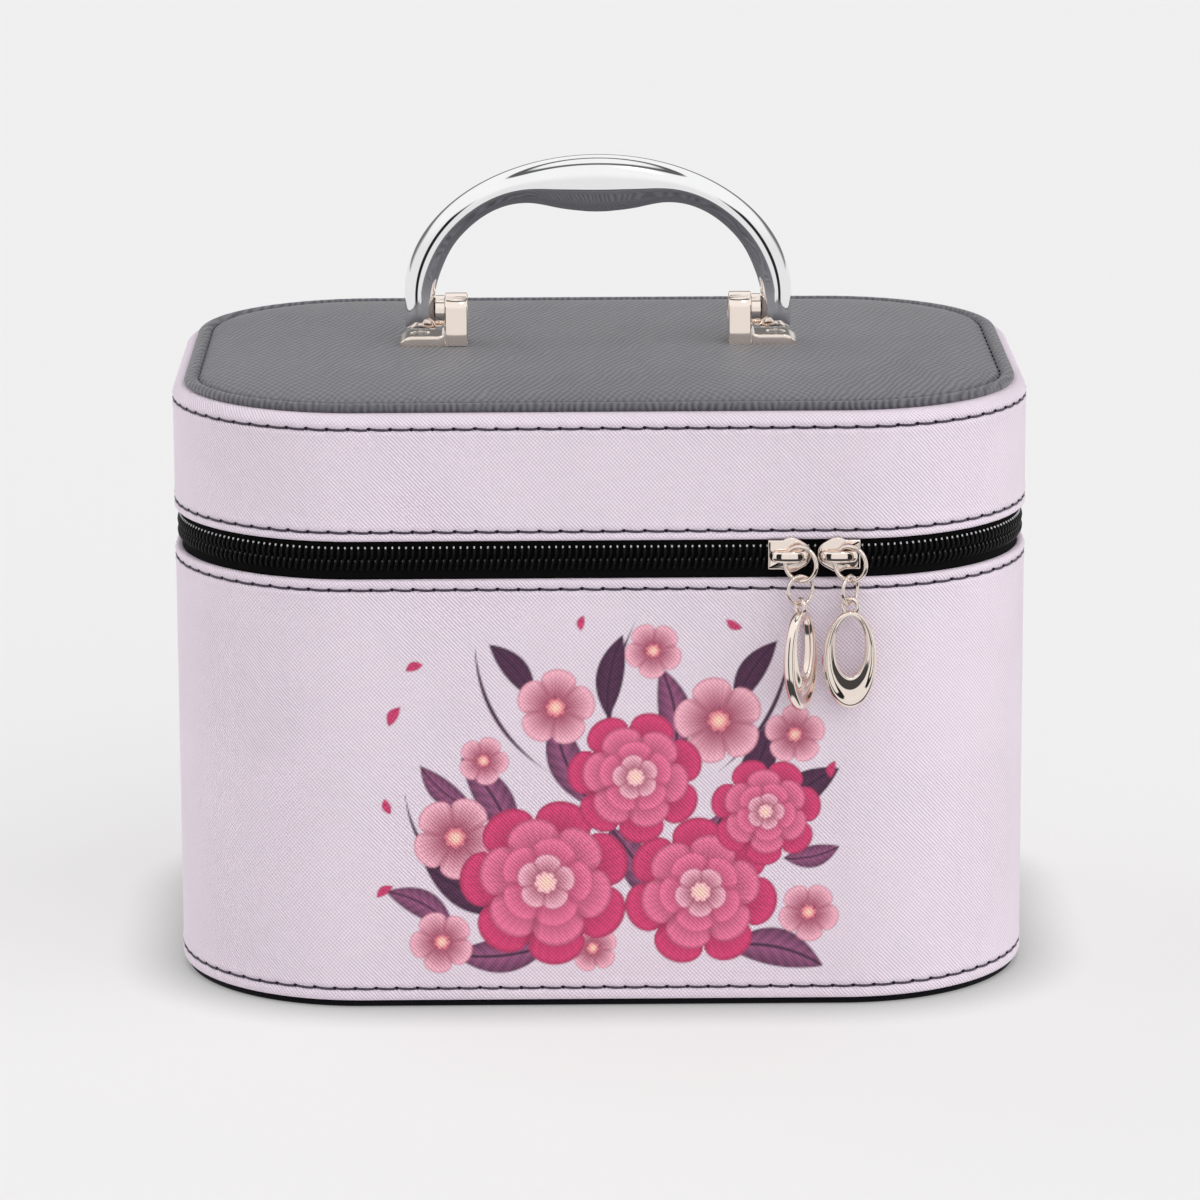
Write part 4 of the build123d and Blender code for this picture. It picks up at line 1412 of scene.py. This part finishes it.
# ---------------------------------------------------------------- smooth metal
def rounded(points: list[Point], reaches: list[float], count: int = 5) -> np.ndarray:
    """Closed outline with each corner turned into a short smooth bend.

    Args:
        points: Corners in order.
        reaches: How far each bend starts before its corner.
        count: Points in each bend.

    Returns:
        Points of the softened outline.
    """
    corners = np.array(points, float)
    out = []
    for i, corner in enumerate(corners):
        ends = []
        for other in (corners[i - 1], corners[(i + 1) % len(corners)]):
            step = other - corner
            ends.append(corner + step / np.hypot(*step) * reaches[i])
        out.append(corner_bend(ends[0], corner, ends[1], count))
    return np.vstack(out)


def drawn_in(outline: np.ndarray, distance: float) -> np.ndarray:
    """A closed outline, given counter-clockwise, moved inwards by a distance."""
    along = np.roll(outline, -1, 0) - np.roll(outline, 1, 0)
    along = along / np.maximum(np.hypot(*along.T), 1e-9)[:, None]
    return outline + distance * np.column_stack([-along[:, 1], along[:, 0]])


@dataclass
class Shells:
    """Closed shells gathered into one mesh."""

    name: str
    verts: list = field(default_factory=list)
    faces: list = field(default_factory=list)

    def stack(self, rings: list[np.ndarray], closed: bool = False) -> None:
        """Joins rings of points in order into one shell.

        Args:
            rings: Rings of equal count, in millimetres.
            closed: Whether the last ring joins the first; otherwise both ends get a cap.
        """
        start, count, spans = len(self.verts), len(rings[0]), len(rings)
        self.verts += [tuple(np.asarray(point) * MM) for ring in rings for point in ring]
        for i in range(spans if closed else spans - 1):
            low, high = start + i * count, start + (i + 1) % spans * count
            for j in range(count):
                k = (j + 1) % count
                self.faces.append((low + j, low + k, high + k, high + j))
        if not closed:
            last = start + (spans - 1) * count
            self.faces += [tuple(range(start, start + count))[::-1], tuple(range(last, last + count))]

    def build(self, sharp_deg: float = 50.0) -> bpy.types.Object:
        """The shells as one object with all faces outwards."""
        obj = mesh_object(self.name, self.verts, self.faces, [], sharp_deg)
        outward(obj.data)
        return obj


@dataclass
class CarryHandle(SubAssembly):
    """Arched handle: crowned outside, tapered underside, full grip and slim shoulders."""

    width: float = 110.8
    arch_z: float = 186.7
    rise: float = 39.8
    pivot_z: float = 181.5
    end_round: float = 1.7
    crown: float = 0.58
    underside: float = 0.5
    underside_break: float = 0.12

    # angle of the arch, thickness and depth of the bar, from a leg to the middle of the grip
    STATIONS = (
        (0, 8.8, 10.6), (16, 9.4, 10.8), (34, 8.8, 11.0), (52, 8.6, 11.2),
        (64, 10.2, 11.8), (76, 14.2, 12.4), (84, 15.8, 12.7), (90, 16.2, 12.8),
    )
    END_TURNS = (87, 84, 80, 75, 70, 64, 58, 50, 42, 34, 26, 18, 9, 0)
    ARCH_STEPS = 121

    def sizes(self, angles: np.ndarray) -> list[np.ndarray]:
        """Thickness and depth of the bar at angles of the arch."""
        full = [*self.STATIONS, *((180 - a, t, d) for a, t, d in reversed(self.STATIONS[:-1]))]
        curves = (np.array(smooth_curve([(row[0], row[i]) for row in full], 12)) for i in (1, 2))
        return [np.interp(angles, *curve.T) for curve in curves]

    def section(self, thickness: float, depth: float) -> np.ndarray:
        """Outline of the bar: across the depth, and from the outside in."""
        half, broad = depth / 2, (self.crown - 0.5) * thickness
        flat, cut = self.underside * half, self.underside_break * thickness
        turns = np.radians(np.linspace(188, 352, 29))
        crown = np.column_stack([half * np.cos(turns), broad + self.crown * thickness * np.sin(turns)])
        corner = np.array((half, broad))
        inner, tip = np.array((flat + cut / 2, thickness / 2 - cut)), np.array((flat - cut / 2, thickness / 2))
        start = corner + (inner - corner) * 0.12
        shoulder = corner_bend(crown[-1], corner, start, 6)
        side = start + (inner - start) * np.linspace(0.15, 0.85, 5)[:, None]
        edge = corner_bend(side[-1], (inner + tip) / 2, np.array((flat * 0.6, thickness / 2)), 5)
        right = np.vstack([shoulder[1:], side, edge[1:]])
        return np.vstack([crown, right, right[::-1] * (-1, 1)])

    def ring(self, angle: float, thickness: float, depth: float) -> np.ndarray:
        """Points of the bar at an angle of the arch, with its thickness and depth there."""
        c, s = math.cos(math.radians(angle)), math.sin(math.radians(angle))
        normal = np.array((self.rise * c, self.width / 2 * s)) / math.hypot(self.rise * c, self.width / 2 * s)
        outline = self.section(thickness, depth)
        reach = -thickness / 2 - outline[:, 1]
        x = self.width / 2 * c + normal[0] * reach
        z = self.arch_z + self.rise * s + normal[1] * reach
        return np.column_stack([x, outline[:, 0], z])

    def leg(self, side: int) -> list[np.ndarray]:
        """Rings of one straight leg with its round end, from the foot up."""
        thickness, depth = self.STATIONS[0][1:]
        outline = self.section(thickness, depth)
        rings = []
        for turn in np.radians(self.END_TURNS):
            z = self.pivot_z - depth / 2 * math.sin(turn)
            low = max(0.0, self.end_round - (z - self.pivot_z + depth / 2))
            drop = self.end_round - math.sqrt(max(self.end_round**2 - low**2, 0.0))
            across = outline[:, 1] * (1 - drop / thickness) + drop / 2
            x = side * (self.width / 2 - thickness / 2 - across)
            rings.append(np.column_stack([x, outline[:, 0] * math.cos(turn), np.full(len(outline), z)]))
        for share in (0.33, 0.67):
            z = self.pivot_z + (self.arch_z - self.pivot_z) * share
            x = side * (self.width / 2 - thickness / 2 - outline[:, 1])
            rings.append(np.column_stack([x, outline[:, 0], np.full(len(outline), z)]))
        return rings

    def build(self) -> None:
        """Makes and dresses the arch."""
        shells = Shells("handle_arch_bar")
        angles = np.linspace(0, 180, self.ARCH_STEPS)
        arch = [self.ring(*place) for place in zip(angles, *self.sizes(angles))]
        shells.stack([*self.leg(1), *arch, *reversed(self.leg(-1))])
        self.keep(shells.build(24.0), Body.HANDLE, Slot.CHROME, "handle_arch", finish=self.finishes.chrome)


@dataclass
class HandleBracket(SubAssembly):
    """One cast bracket: lug with a round head and a pin dish, and a sloped tongue with a screw seat."""

    side: str = "left"
    base: float = 172.1
    pivot: float = 9.4
    lug_x: Point = (37.3, 43.9)
    head: float = 5.2
    foot: float = 5.95
    tip_x: float = 56.9
    tip_t: float = 1.3
    slope_x: float = 53.5
    tongue_t: float = 3.0
    tongue_d: float = 6.0
    tip_corner: float = 2.0
    fillet: float = 1.8
    edge: float = 0.55
    dish: Point = (3.1, 0.8)
    pin: float = 1.7
    screw_x: float = 51.0
    seat: Point = (2.75, 0.55)

    def lug(self) -> list[np.ndarray]:
        """Rings of the lug from its inner face, with the dish, to its outer face."""
        turns = np.radians(np.linspace(176, 4, 33))
        head = np.column_stack([self.head * np.cos(turns), self.pivot + self.head * np.sin(turns)])
        rise = np.linspace(0, 1, 9)
        flank = np.column_stack([self.foot - (self.foot - self.head) * rise**2, 0.15 + (self.pivot - 0.55) * rise])
        outline = np.vstack([head, flank[::-1], flank * (-1, 1)])[::-1]
        low, high = self.lug_x
        around = outline - (0.0, self.pivot)
        around = around / np.hypot(*around.T)[:, None]
        wide, deep = self.dish
        bore = (
            (self.pin, low + 1.2), (self.pin, low + deep), (wide - 0.2, low + deep), (wide, low + deep - 0.2),
            (wide, low + 0.15), (wide + 0.15, low),
        )
        rings = [self.upright(around * radius + (0.0, self.pivot), x) for radius, x in bore]
        e = self.edge
        steps = ((e + 0.1, low), (e, low), (e * 0.55, low + e * 0.1), (e * 0.2, low + e * 0.4), (0.0, low + e))
        rings += [self.upright(drawn_in(outline, inset), x) for inset, x in steps]
        back = [(inset, low + high - x) for inset, x in reversed(steps)]
        return rings + [self.upright(drawn_in(outline, inset), x) for inset, x in back]

    @staticmethod
    def upright(outline: np.ndarray, x: float) -> np.ndarray:
        """An outline across the depth and the height, set at a station."""
        return np.column_stack([np.full(len(outline), x), outline])

    def height(self, x: float) -> float:
        """Height of the tongue at a station."""
        share = min(1.0, max(0.0, (self.tip_x - x) / (self.tip_x - self.slope_x)))
        return self.tip_t + (self.tongue_t - self.tip_t) * (share + 0.18 * math.sin(math.pi * share) * share)

    def tongue(self) -> list[np.ndarray]:
        """Rings of the tongue from its tip to the inside of the lug."""
        rings, r = [], self.tip_corner
        for turn in np.radians([6, 15, 25, 36, 48, 60, 75, 90]):
            x = self.tip_x - r + r * math.cos(turn)
            rings.append(self.bar(x, self.tongue_d - r + r * math.sin(turn), self.height(x) * min(1.0, 0.62 + turn)))
        flat_end = self.lug_x[1] + self.fillet
        for x in np.linspace(self.tip_x - r - 0.2, flat_end, 44):
            rings.append(self.bar(x, self.tongue_d, self.height(x)))
        for turn in np.radians([15, 30, 45, 60, 75, 90]):
            rise = self.tongue_t + self.fillet * (1 - math.cos(turn))
            rings.append(self.bar(flat_end - self.fillet * math.sin(turn), self.tongue_d - 0.25 * turn, rise))
        return [*rings, self.bar(self.lug_x[1] - 0.8, self.tongue_d - 0.4, self.tongue_t)]

    def bar(self, x: float, half: float, height: float) -> np.ndarray:
        """One upright ring of the tongue with soft upper edges and the screw seat pressed in."""
        e = min(self.edge, height * 0.4)
        right = arc((half - e, height - e), e, 0, 90, 6)
        across = np.linspace(half - e, e - half, 35)[1:-1]
        left = [(-y, z) for y, z in reversed(right)]
        outline = np.array([(half, 0.0), *right, *((y, height) for y in across), *left, (-half, 0.0)])
        off = np.hypot(x - self.screw_x, outline[:, 0])
        share = np.clip((self.seat[0] + 0.3 - off) / 0.45, 0, 1)
        pressed = self.seat[1] * share**2 * (3 - 2 * share)
        outline[:, 1] -= np.where(outline[:, 1] > height - 0.01, pressed, 0.0)
        return self.upright(outline, x)

    def build(self) -> None:
        """Makes and dresses the bracket."""
        shells = Shells(f"handle_bracket_{self.side}_casting")
        mirror = (-1 if self.side == "left" else 1, 1, 1)
        for rings in (self.lug(), self.tongue()):
            shells.stack([(ring + (0.0, 0.0, self.base)) * mirror for ring in rings])
        node = f"handle_bracket_{self.side}"
        self.keep(shells.build(30.0), Body.LID, Slot.NICKEL, node, finish=self.finishes.nickel)


@dataclass
class ZipPull(SubAssembly):
    """One zip slider with its bridge, rings and oval loop."""

    side: str = "left"
    x: float = 51.3
    nose: int = 1
    jump_turn: float = -28.0
    eye_turn: float = 60.0
    loop_turn: float = -58.0
    lean: float = 6.5
    z: float = 129.0
    zip_mid: float = 127.9
    plate_y: Point = (-88.3, -89.3)
    bridge_reach: float = 4.65
    bridge_out: float = 3.25
    bridge_half: Point = (1.65, 0.78)
    ring: Point = (4.8, 0.6)
    ring_turn: float = 30.0
    ring_at: tuple[float, float, float] = (2.9, -92.8, 127.2)
    jump: Point = (3.9, 0.5)
    jump_drop: float = 7.3
    eye: Point = (2.1, 0.65)
    eye_drop: float = 4.55
    oval: Point = (7.5, 13.8)
    oval_drop: float = 14.8
    hole: Point = (4.1, 8.3)
    hole_raise: float = 3.7
    face: float = 1.6
    web_half: Point = (2.0, 0.3)
    web_y: Point = (-88.4, -84.7)
    back_half: Point = (4.5, 3.8)
    back_y: Point = (-84.75, -83.75)
    web_ahead: float = 3.1

    OUTLINE = ((-5.9, 4.1), (-1.7, 4.1), (-0.3, 4.9), (1.3, 4.9), (4.9, 2.9), (5.9, 1.5))
    BENDS = (0.35, 0.7, 0.6, 0.8, 1.0, 0.9)

    def plate(self) -> list[np.ndarray]:
        """Rings of the face plate from its back to its softly rounded front."""
        upper = [(self.nose * u, v) for u, v in self.OUTLINE]
        corners = [*upper, *((u, -v) for u, v in reversed(upper))]
        outline = rounded(corners, [*self.BENDS, *reversed(self.BENDS)])
        if self.nose > 0:
            outline = outline[::-1]
        back, front = self.plate_y
        steps = (
            (0.3, back), (0.0, back - 0.1), (0.0, front + 0.45), (0.08, front + 0.2), (0.25, front + 0.05),
            (0.5, front), (0.7, front - 0.03),
        )
        rings = []
        for inset, y in steps:
            flat = drawn_in(outline, inset)
            rings.append(np.column_stack([self.x + flat[:, 0], np.full(len(flat), y), self.z + flat[:, 1]]))
        return rings

    def block(self, x: float, half: Point, depths: Point) -> list[np.ndarray]:
        """Rings of a small soft-edged block on the zip's middle, stacked along the depth.

        Args:
            x: Middle of the block.
            half: Half of its width and of its height.
            depths: First and last depth.

        Returns:
            The rings in order.
        """
        low, high = (x - half[0], self.zip_mid - half[1]), (x + half[0], self.zip_mid + half[1])
        corners = [low, (high[0], low[1]), high, (low[0], high[1])]
        outline = rounded(corners, [0.2] * 4, 3)
        soft = 0.12
        steps = ((soft, depths[0]), (0.0, depths[0] + soft), (0.0, depths[1] - soft), (soft, depths[1]))
        return [np.insert(drawn_in(outline, inset), 1, y, axis=1) for inset, y in steps]

    def bridge(self) -> list[np.ndarray]:
        """Rings of the bridge, a flat bar bent over between its two feet."""
        reach, out = self.bridge_reach, self.bridge_out
        first = [(-reach - 0.1, -0.35), (-reach, 1.1), (-reach + 0.7, 2.3), (-reach + 2.1, out - 0.3), (-1.2, out)]
        path = np.array(smooth_curve([*first, *((-u, v) for u, v in reversed(first))], 8))
        along = np.gradient(path, axis=0)
        along /= np.hypot(*along.T)[:, None]
        turns = np.radians(np.linspace(0, 360, 28, endpoint=False))
        wide, thick = self.bridge_half[0] * np.cos(turns), self.bridge_half[1] * np.sin(turns)
        rings = []
        for (u, v), (du, dv) in zip(path, along):
            swell = 1.0 - 0.12 * (u / reach) ** 2
            x = self.x + u - dv * thick
            y = self.plate_y[1] - v - du * thick
            rings.append(np.column_stack([x, y, self.z + wide * swell]))
        return rings

    def frame_at(self, drop: float, turn: float) -> tuple[np.ndarray, np.ndarray]:
        """Middle of a piece hung below the pull ring's middle, and its level way, plane normal and height as rows."""
        t = math.radians(turn)
        axes = np.array([(-math.cos(t), math.sin(t), 0.0), (math.sin(t), math.cos(t), 0.0), (0.0, 0.0, 1.0)])
        dx, y, z = self.ring_at
        return np.array((self.x + dx, y, z - drop)), axes

    def hung(self, points: np.ndarray) -> np.ndarray:
        """Points leaned away from the front about the foot of the pull ring."""
        foot = np.array((0.0, self.ring_at[1], self.ring_at[2] - self.ring[0]))
        a = math.radians(-self.lean)
        turn = np.array([(1, 0, 0), (0, math.cos(a), -math.sin(a)), (0, math.sin(a), math.cos(a))])
        return (points - foot) @ turn.T + foot

    def wire_ring(self, size: Point, drop: float, turn: float, lean: bool) -> list[np.ndarray]:
        """Rings of a round wire bent into a circle."""
        middle, axes = self.frame_at(drop, turn)
        turns = np.radians(np.linspace(0, 360, 16, endpoint=False))
        rings = []
        for at in np.radians(np.linspace(0, 360, 72, endpoint=False)):
            far = size[0] + size[1] * np.cos(turns)
            local = np.column_stack([far * math.cos(at), size[1] * np.sin(turns), far * math.sin(at)])
            points = middle + local @ axes
            rings.append(self.hung(points) if lean else points)
        return rings

    def loop(self) -> list[np.ndarray]:
        """Rings of the oval loop: round outer edge, dished face and a raised rim round the hole, front and back."""
        middle, axes = self.frame_at(self.jump_drop + self.eye_drop, self.loop_turn)
        at = np.radians(np.linspace(0, 360, 96, endpoint=False))
        outer = np.column_stack([self.oval[0] * np.cos(at), self.oval[1] * np.sin(at) - self.oval_drop])
        lift = self.hole_raise - self.oval_drop
        inner = np.column_stack([self.hole[0] * np.cos(at), self.hole[1] * np.sin(at) + lift])
        span = np.hypot(*(inner - outer).T)
        edge, rim = np.minimum(1.5, 0.42 * span), np.minimum(1.0, 0.32 * span)
        dip = np.clip(0.13 * (span - 1.7), 0.0, 0.75)
        flush, even = self.face * 0.97, np.ones_like(span)
        rows = []
        for t in np.radians([0, 15, 30, 45, 58, 70, 80]):
            rows.append((edge * (1 - math.cos(t)), flush * math.sin(t) * even))
        for u in np.linspace(0, 1, 9):
            rows.append((edge + u * (span - rim - edge), flush - dip * math.sin(math.pi * u) ** 1.5))
        for t in np.radians([12, 30, 50, 70]):
            crest = 0.03 * math.sin(2 * t) + flush * (1 - (1 - math.cos(t)) ** 1.2)
            rows.append((span - rim + rim * math.sin(t), crest * even))
        rows.append((span - rim + rim, 0.0 * even))
        back = [(d, -h) for d, h in reversed(rows[1:-1])]
        rings = []
        for d, h in [*rows, *back]:
            flat = outer + (inner - outer) * (d / span)[:, None]
            local = np.column_stack([flat[:, 0], -h, flat[:, 1]])
            rings.append(self.hung(middle + local @ axes))
        return rings

    def build(self) -> None:
        """Makes and dresses the pieces."""
        web = self.block(self.x + self.nose * self.web_ahead, self.web_half, self.web_y)
        back = self.block(self.x, self.back_half, self.back_y)
        ring = self.wire_ring(self.ring, 0.0, self.ring_turn, False)
        jump = self.wire_ring(self.jump, self.jump_drop, self.jump_turn, True)
        eye = self.wire_ring(self.eye, self.jump_drop + self.eye_drop, self.eye_turn, True)
        for kind, form, carrier, closed, shapes in (
            ("slider", "casting", "slider", False, (self.plate(), web, back)),
            ("slider_bridge", "bar", "slider", False, (self.bridge(),)),
            ("pull_ring", "wire", "pull_ring", True, (ring,)),
            ("jump_ring", "wire", "jump_ring", True, (jump,)),
            ("pull_loop", "casting", "pull_loop", True, (self.loop(), eye)),
        ):
            node, body = f"{kind}_{self.side}", Body(f"{self.side}_{carrier}")
            shells = Shells(f"{node}_{form}")
            for rings in shapes:
                shells.stack(rings, closed)
            self.keep(shells.build(), body, Slot.NICKEL, node, finish=self.finishes.nickel)


@dataclass
class Hardware:
    """Rigid pieces that keep their CAD shape and get their finish here."""

    finishes: Finishes

    def groups(self) -> dict[bpy.types.Material, tuple[str, ...]]:
        """Node names, or starts of them, for each finish."""
        f = self.finishes
        return {
            f.nickel: ("handle_washer",),
            f.steel: ("backing_plate", "handle_pin", "bracket_tongue_screws", "bracket_lug_screws"),
            f.mirror: ("mirror_glass",),
            f.charcoal: ("mirror_frame",),
            f.board: ("body_wall_board", "base_board", "lid_wall_board", "lid_top_board"),
        }

    def dress(self) -> None:
        """Gives every rigid node its finish."""
        for finish, starts in self.groups().items():
            for name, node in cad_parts.items():
                if name.startswith(starts):
                    dress(node, finish)
                    LOG.info("%s: %s", name, finish.name)


# ---------------------------------------------------------------- studio
@dataclass(frozen=True)
class Studio:
    """Pale floor, soft lights and the camera of the picture."""

    focal_px: float = 5780.0
    image_px: float = 1200.0
    distance: float = 1634.0
    height: float = 473.5
    pitch: float = 0.227
    yaw: float = 0.0102
    aside: float = 0.257
    sensor: float = 36.0
    roll: float = -0.004
    pale: Colour = srgb(238, 237, 237)
    ambient: float = 0.43
    floor_glow: float = 0.6
    floor_reach: float = 12.0
    # reach and depth of the painted contact shadow on the floor
    painted_contact_shadow: Point = (22.0, 0.85)

    # name, strength, spread in degrees, direction towards the light, and whether it only makes highlights
    LIGHTS = (
        ("key_light", 2.05, 90, (0.76, -0.69, 0.72), False),
        ("side_light", 1.60, 70, (-1.0, 0.30, 0.22), False),
        ("top_light", 0.34, 120, (0.05, 0.0, 1.0), False),
        ("spark_light", 0.10, 7, (0.15, -0.5, 0.86), True),
    )
    # soft-edged bands of the room: where each starts, is full, is full for the last time and ends
    PANEL_FRAME = (0.905, 0.925, 0.955, 0.975)
    FLAG_SIDES = (0.50, 0.56, 0.80, 0.86)
    FLAG_HEIGHTS = (-0.5, -0.4, 0.45, 0.55)
    BACK_HEIGHTS = (0.03, 0.08, 0.36, 0.46)
    NEAR_HEIGHTS = (-0.82, -0.72, -0.42, -0.34)
    BLACK = (0.02, 0.02, 0.022)

    def build(self) -> None:
        """Makes the floor, the world, the lights and the camera."""
        scene = bpy.context.scene
        scene.view_settings.view_transform = "Standard"
        self.add_floor()
        self.add_world(scene)
        for light in self.LIGHTS:
            self.add_sun(*light)
        self.add_camera(scene)

    def add_floor(self) -> None:
        """A wide pale floor under the case, with a painted contact shadow near the case."""
        verts = [(x * self.floor_reach, y * self.floor_reach, 0.0) for x, y in ((-1, -1), (1, -1), (1, 1), (-1, 1))]
        floor = mesh_object("studio_floor", verts, [(0, 1, 2, 3)], [], 30)
        paint = Paint("pale_floor_painted_shadow")
        grain = paint.noise(paint.place("Object"), 3.0, 2.0)
        ground = paint.mix(grain, toned(self.pale, 0.992), self.pale)
        paint.set(Base_Color=ground, Roughness=0.9, Specular_IOR_Level=0.1)
        glow = paint.run("ShaderNodeEmission", {0: self.pale, 1: 1.0})
        camera = paint.add("ShaderNodeLightPath").outputs["Is Camera Ray"]
        share = paint.math("MULTIPLY", camera, self.floor_glow)
        lit = paint.run("ShaderNodeMixShader", {0: share, 1: paint.shader.outputs[0], 2: glow})
        # painted contact shadow: for camera rays a dark emission is mixed in where ambient occlusion finds the case
        # close by
        reach, depth = self.painted_contact_shadow
        open_sky = paint.run("ShaderNodeAmbientOcclusion", {"Distance": reach * MM}, "AO", samples=4)
        painted_shadow_share = paint.math("MULTIPLY", paint.math("SUBTRACT", 1.0, open_sky), depth)
        dark = paint.run("ShaderNodeEmission", {0: (0.1, 0.1, 0.1), 1: 1.0})
        with_painted_shadow = paint.run("ShaderNodeMixShader", {0: paint.math("MULTIPLY", painted_shadow_share, camera), 1: lit, 2: dark})
        paint.feed(paint.tree.nodes["Material Output"].inputs[0], with_painted_shadow)
        dress(floor, paint.material)
        floor.visible_glossy = False

    def add_world(self, scene: bpy.types.Scene) -> None:
        """Even soft light, the pale background for the camera, and the studio that metal and glass show."""
        world = bpy.data.worlds.new("studio")
        scene.world = world
        world.use_nodes = True
        wiring = Wiring(world.node_tree)
        wiring.tree.nodes.clear()
        path = wiring.add("ShaderNodeLightPath").outputs
        mirrored = wiring.math("MAXIMUM", path["Is Glossy Ray"], path["Is Transmission Ray"])
        light = wiring.run("ShaderNodeBackground", {0: (1.0, 1.0, 1.0), 1: self.ambient})
        back = wiring.run("ShaderNodeBackground", {0: self.pale, 1: 1.0})
        room = wiring.run("ShaderNodeBackground", {0: self.room(wiring), 1: 1.0})
        seen = wiring.run("ShaderNodeMixShader", {0: path["Is Camera Ray"], 1: light, 2: back})
        mixed = wiring.run("ShaderNodeMixShader", {0: mirrored, 1: seen, 2: room})
        wiring.feed(wiring.add("ShaderNodeOutputWorld").inputs[0], mixed)

    def room(self, wiring: Wiring) -> bpy.types.NodeSocket:
        """The pale studio by direction: white tent, overhead panel with a dark frame, dark flags and a dim back."""
        axes = wiring.add("ShaderNodeSeparateXYZ")
        wiring.feed(axes.inputs[0], wiring.add("ShaderNodeTexCoord").outputs["Generated"])
        x, y, z = axes.outputs
        tent = wiring.mix(wiring.step(z, 0.25, 0.6), self.pale, (1.0, 1.0, 1.0))
        frame_gap = self.between(wiring, z, self.PANEL_FRAME)
        side = wiring.math("ABSOLUTE", wiring.math("ARCTAN2", x, wiring.math("MULTIPLY", y, -1.0)))
        dark = self.between(wiring, side, self.FLAG_SIDES)
        dark = wiring.math("MULTIPLY", dark, self.between(wiring, z, self.FLAG_HEIGHTS))
        behind, before = wiring.step(y, 0.2, 0.6), wiring.step(y, -0.1, 0.1, 1.0, 0.0)
        dim = wiring.math("MULTIPLY", behind, self.between(wiring, z, self.BACK_HEIGHTS))
        near = wiring.math("MULTIPLY", before, self.between(wiring, z, self.NEAR_HEIGHTS))
        for part, weight in ((frame_gap, 0.9), (dim, 0.8), (near, 0.95)):
            dark = wiring.math("MAXIMUM", dark, wiring.math("MULTIPLY", part, weight))
        return wiring.mix(dark, tent, self.BLACK)

    @staticmethod
    def between(wiring: Wiring, value: Value, band: tuple[float, float, float, float]) -> bpy.types.NodeSocket:
        """A soft-edged band: 0 outside its start and end, 1 where it is full."""
        start, full, last, end = band
        return wiring.math("MULTIPLY", wiring.step(value, start, full), wiring.step(value, last, end, 1.0, 0.0))

    @staticmethod
    def add_sun(
        name: str, strength: float, spread_deg: float, towards: tuple[float, float, float], sharp: bool
    ) -> None:
        """A distant light.

        Args:
            name: Name of the light.
            strength: Strength of the light.
            spread_deg: Width of the light as seen from the case.
            towards: Direction from the case to the light.
            sharp: Whether it makes highlights and no shadow; otherwise it shows in no reflection.
        """
        lamp = bpy.data.lights.new(name, "SUN")
        lamp.energy = strength
        lamp.angle = math.radians(spread_deg)
        lamp.use_shadow = not sharp
        obj = bpy.data.objects.new(name, lamp)
        obj.visible_glossy = sharp
        obj.rotation_euler = Vector(towards).to_track_quat("Z", "Y").to_euler()
        bpy.context.scene.collection.objects.link(obj)

    def add_camera(self, scene: bpy.types.Scene) -> None:
        """Camera at the picture's angle."""
        data = bpy.data.cameras.new("camera")
        data.sensor_width = self.sensor
        data.lens = self.focal_px * self.sensor / self.image_px
        data.clip_start, data.clip_end = 0.05, 60.0
        camera = bpy.data.objects.new("camera", data)
        turn = Matrix.Rotation(-self.yaw, 4, "Z")
        place = Matrix.Translation(Vector((self.aside, -self.distance, self.height)) * MM)
        tilt = Matrix.Rotation(math.pi / 2 - self.pitch, 4, "X") @ Matrix.Rotation(self.roll, 4, "Z")
        camera.matrix_world = turn @ place @ tilt
        scene.collection.objects.link(camera)
        scene.camera = camera


def main() -> None:
    """Builds the case in order and dresses it."""
    logging.basicConfig(level=logging.INFO, format="%(name)s: %(message)s")
    finishes = Finishes()
    shared = (CasePlan(), finishes, RowTree("stitch_row", 6, 5), RowTree("coil_row", 6, 6))
    CaseBody(*shared).build()
    CaseLid(*shared).build()
    for half in Half:
        ZipHalf(*shared, half=half).build()
    BackHinge(*shared).build()
    CarryHandle(*shared).build()
    for side in ("left", "right"):
        HandleBracket(*shared, side=side).build()
    ZipPull(*shared).build()
    ZipPull(
        *shared, side="right", x=64.9, nose=-1, jump_turn=-56.0, eye_turn=16.0, loop_turn=-5.0, lean=1.5
    ).build()
    Hardware(finishes).dress()
    Studio().build()


if __name__ == "__main__":
    main()
